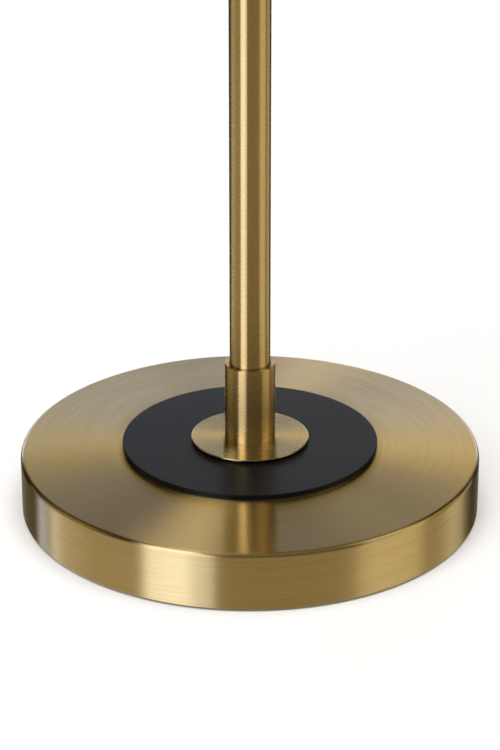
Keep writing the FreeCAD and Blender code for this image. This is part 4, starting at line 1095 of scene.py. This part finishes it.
# Panels of studio light: azimuth from the camera's side, to the right, and elevation, all in degrees, then the
# softness of both edges, the strength and the tint.
PANELS = (
    ((-57, -31), (-90, -26), (3, 3), 0.85, (0.93, 1.0, 1.08)),       # tall strip at the front left
    ((-51, -17), (-26, -14), (3, 3), 0.85, (0.93, 1.0, 1.08)),
    ((-51, -17), (-14, 16), (3, 3), 1.5, (0.93, 1.0, 1.08)),        # brighter and wider above
    ((-108, -84), (-25, 8), (4, 4), 0.07, (1.0, 0.9, 0.7)),
    ((-20, 54), (24, 66), (6, 5), 0.1, (1.05, 1.0, 0.8)),            # plain ceiling at the front
    ((118.5, 121.5), (-70, -22), (0.8, 3), 0.3, (1.0, 1.0, 1.0)),
    ((126.5, 130), (-70, -22), (0.8, 3), 0.35, (1.0, 1.0, 1.1)),
    ((-160, -136), (-70, -20), (2, 4), 0.1, (1.0, 0.85, 0.5)),
    ((60, 92), (-24, 8), (3, 4), 0.12, (1.0, 0.92, 0.7)),
    ((-128, 134), (-17, 6), (2, 6), 0.19, (1.0, 0.83, 0.45)),        # far wall of the room
    ((-58, -28), (28, 50), (5, 4), 2.9, (0.97, 1.0, 1.0)),           # its upper part
    ((-60, -20), (50, 66), (5, 4), 0.9, (1.05, 1.0, 0.7)),
    ((-117, -57), (-90, 8), (2, 5), 0.10, (1.0, 0.95, 0.75)),
    ((-117.5, -113), (-70, -25), (0.8, 3), 1.4, (0.93, 1.0, 1.05)),
    ((-132.5, -126.5), (-70, -25), (0.6, 3), 1.5, (0.8, 1.0, 1.6)),
    ((-120, -82), (16, 46), (5, 5), 0.18, (1.2, 1.0, 0.3)),
    ((54, 92), (-90, 8), (2, 5), 0.30, (1.0, 0.92, 0.7)),            # dimmer strip at the right
    ((62, 100), (28, 50), (6, 5), 0.9, (1.1, 1.0, 0.7)),
    ((80, 120), (8, 28), (5, 5), 0.4, (1.2, 1.0, 0.3)),
    ((60, 150), (50, 66), (8, 5), 0.26, (1.1, 1.0, 0.5)),
    ((112, 132), (-90, 8), (1.5, 5), 0.22, (0.95, 1.0, 0.9)),
    ((155, 181), (-60, 6), (5, 4), 0.22, (1.0, 1.0, 0.9)),           # pale backdrop low behind the lamp
    ((-181, -155), (-60, 6), (5, 4), 0.22, (1.0, 1.0, 0.9)),
    ((150, 181), (6, 17), (5, 4), 1.5, (0.84, 1.0, 1.5)),
    ((-181, -150), (6, 17), (5, 4), 1.65, (0.84, 1.0, 1.4)),
    ((156, 181), (17, 29), (5, 4), 0.58, (1.08, 0.92, 0.5)),
    ((-181, -160), (17, 29), (5, 4), 0.32, (1.08, 0.92, 0.48)),
    ((-174, -159), (50, 66), (3, 4), 1.9, (1.2, 1.0, 0.5)),       # bounce high behind the left side
    ((-181, 181), (66, 90), (5, 5), 0.17, (1.2, 1.0, 0.55)),
)
# Light that comes from everywhere: a faint glow, and the room round the front and sides below the horizon.
GLOW = 0.015
ROOM = 0.29
ROOM_TINT = (1.0, 0.82, 0.44)
ROOM_EDGES = (-128, 134)
ROOM_TOP = -17
BACKGROUND = (1.0, 1.0, 1.0)
# Soft lights: name, how far each leans from straight down, its share of the fill, and its spread in degrees.
SOFT_LIGHTS = (("overhead", (0.12, 0.1, 0.0), 0.75, 50), ("side", (0.6, -0.5, 0.0), 0.25, 70))
SKY_TINT = (0.97, 0.965, 1.0)


def make_world():
    """Dim warm room with soft panels, shown to reflections; the camera sees a plain pale background."""
    world = bpy.data.worlds.new("studio")
    bpy.context.scene.world = world
    world.use_nodes = True
    tree = world.node_tree
    tree.nodes.clear()
    way = add(tree, "ShaderNodeSeparateXYZ", {0: add(tree, "ShaderNodeTexCoord").outputs["Generated"]})
    toward_camera = calc(tree, "MULTIPLY", way.outputs[1], -1.0)
    azimuth = calc(tree, "DEGREES", calc(tree, "ARCTAN2", way.outputs[0], toward_camera))
    elevation = calc(tree, "DEGREES", calc(tree, "ARCSINE", way.outputs[2]))
    light = add(tree, "ShaderNodeVectorMath", {0: tuple(c * GLOW for c in ROOM_TINT)}, operation="ADD").outputs[0]
    room = (ROOM_EDGES, (-90, ROOM_TOP), (2, 6), ROOM, ROOM_TINT)
    for (left, right), (bottom, top), (side_soft, end_soft), strength, tint in (room, *PANELS):
        masks = [span(tree, azimuth, left - side_soft, left + side_soft),
                 span(tree, azimuth, right + side_soft, right - side_soft),
                 span(tree, elevation, bottom - end_soft, bottom + end_soft),
                 span(tree, elevation, top + end_soft, top - end_soft)]
        if left <= -180:
            masks.pop(0)
        if right >= 180:
            masks.pop(-3)
        amount = masks[0]
        for mask in masks[1:]:
            amount = calc(tree, "MULTIPLY", amount, mask)
        panel = add(tree, "ShaderNodeVectorMath", {0: tuple(c * strength for c in tint), "Scale": amount},
                    operation="SCALE").outputs[0]
        light = add(tree, "ShaderNodeVectorMath", {0: light, 1: panel}, operation="ADD").outputs[0]
    seen = add(tree, "ShaderNodeLightPath").outputs["Is Camera Ray"]
    lit = add(tree, "ShaderNodeBackground", {"Color": light, "Strength": 1.0})
    plain = add(tree, "ShaderNodeBackground", {"Color": (*BACKGROUND, 1.0), "Strength": 1.0})
    mix = add(tree, "ShaderNodeMixShader", {0: seen, 1: lit.outputs[0], 2: plain.outputs[0]})
    out = add(tree, "ShaderNodeOutputWorld", {"Surface": mix.outputs[0]})
    out.is_active_output = True


def make_lights():
    """Broad soft light from above, left out of reflections."""
    stage = bpy.context.scene.lamp_stage
    for name, tilt, strength, spread in SOFT_LIGHTS:
        data = bpy.data.lights.new(name, "SUN")
        data.energy = stage.fill * strength
        data.angle = math.radians(spread)
        data.color = SKY_TINT
        light = new_object(name, data)
        light.rotation_euler = tilt
        light.location = (0, 0, 3)
        light.visible_glossy = False


# ---- operators ----------------------------------------------------------------------------------
class LAMP_OT_stage(bpy.types.Operator):
    """Make the camera, the floor and the studio light"""
    bl_idname = "lamp.stage"
    bl_label = "Stage"

    def execute(self, context):
        make_camera()
        make_floor()
        make_world()
        make_lights()
        return {"FINISHED"}


class LAMP_OT_base(bpy.types.Operator):
    """Make the spun base shell and its felt pad"""
    bl_idname = "lamp.base"
    bl_label = "Base"

    def execute(self, context):
        make_base()
        make_pad()
        return {"FINISHED"}


class LAMP_OT_discs(bpy.types.Operator):
    """Make the black disc and the turned flange"""
    bl_idname = "lamp.discs"
    bl_label = "Discs"

    def execute(self, context):
        make_disc()
        make_flange()
        return {"FINISHED"}


class LAMP_OT_pole(bpy.types.Operator):
    """Make both tubes of the pole"""
    bl_idname = "lamp.pole"
    bl_label = "Pole"

    def execute(self, context):
        make_pole()
        return {"FINISHED"}


class LAMP_OT_collars(bpy.types.Operator):
    """Make the collars at the pole's foot and at the swivel"""
    bl_idname = "lamp.collars"
    bl_label = "Collars"

    def execute(self, context):
        make_collars()
        return {"FINISHED"}


class LAMP_OT_inlet(bpy.types.Operator):
    """Make the mains inlet bushing"""
    bl_idname = "lamp.inlet"
    bl_label = "Inlet"

    def execute(self, context):
        make_inlet()
        return {"FINISHED"}


class LAMP_OT_arm(bpy.types.Operator):
    """Make the arched arm"""
    bl_idname = "lamp.arm"
    bl_label = "Arm"

    def execute(self, context):
        make_arm()
        return {"FINISHED"}


class LAMP_OT_knuckle(bpy.types.Operator):
    """Make the tilt knuckle and its knob"""
    bl_idname = "lamp.knuckle"
    bl_label = "Knuckle"

    def execute(self, context):
        make_knuckle()
        make_tilt_knob()
        return {"FINISHED"}


class LAMP_OT_cup(bpy.types.Operator):
    """Make the lampholder cup and its switch"""
    bl_idname = "lamp.cup"
    bl_label = "Cup"

    def execute(self, context):
        make_cup()
        make_switch()
        return {"FINISHED"}


class LAMP_OT_shade(bpy.types.Operator):
    """Make the dome shade and its ring"""
    bl_idname = "lamp.shade"
    bl_label = "Shade"

    def execute(self, context):
        make_shade()
        make_shade_ring()
        return {"FINISHED"}


class LAMP_OT_bulb(bpy.types.Operator):
    """Make the bulb and the lampholder that it screws into"""
    bl_idname = "lamp.bulb"
    bl_label = "Bulb"

    def execute(self, context):
        make_bulb()
        make_lampholder()
        return {"FINISHED"}


class LAMP_OT_fittings(bpy.types.Operator):
    """Finish the fittings that keep their CAD shape"""
    bl_idname = "lamp.fittings"
    bl_label = "Fittings"

    def execute(self, context):
        make_inner_parts()
        return {"FINISHED"}


OPERATORS = [
    LAMP_OT_stage, LAMP_OT_base, LAMP_OT_discs, LAMP_OT_pole, LAMP_OT_collars, LAMP_OT_inlet, LAMP_OT_arm,
    LAMP_OT_knuckle, LAMP_OT_cup, LAMP_OT_shade, LAMP_OT_bulb, LAMP_OT_fittings,
]


class LAMP_PT_finishes(bpy.types.Panel):
    """Lists the lamp's operators and settings"""
    bl_label = "Arc floor lamp"
    bl_space_type = "VIEW_3D"
    bl_region_type = "UI"
    bl_category = "Lamp"

    def draw(self, context):
        for made in OPERATORS:
            self.layout.operator(made.bl_idname)
        for group in (context.scene.lamp_sizes, context.scene.lamp_colours, context.scene.lamp_stage):
            box = self.layout.box()
            for name in group.__annotations__:
                box.prop(group, name)


CLASSES = [LampSizes, LampColours, StageSettings, *OPERATORS, LAMP_PT_finishes]


def register():
    for made in CLASSES:
        bpy.utils.register_class(made)
    bpy.types.Scene.lamp_sizes = PointerProperty(type=LampSizes)
    bpy.types.Scene.lamp_colours = PointerProperty(type=LampColours)
    bpy.types.Scene.lamp_stage = PointerProperty(type=StageSettings)


def unregister():
    del bpy.types.Scene.lamp_stage
    del bpy.types.Scene.lamp_colours
    del bpy.types.Scene.lamp_sizes
    for made in reversed(CLASSES):
        bpy.utils.unregister_class(made)


def main():
    register()
    bpy.context.scene.view_settings.view_transform = "Standard"
    for made in OPERATORS:
        getattr(bpy.ops.lamp, made.bl_idname.split(".")[1])()


if __name__ == "__main__":
    main()
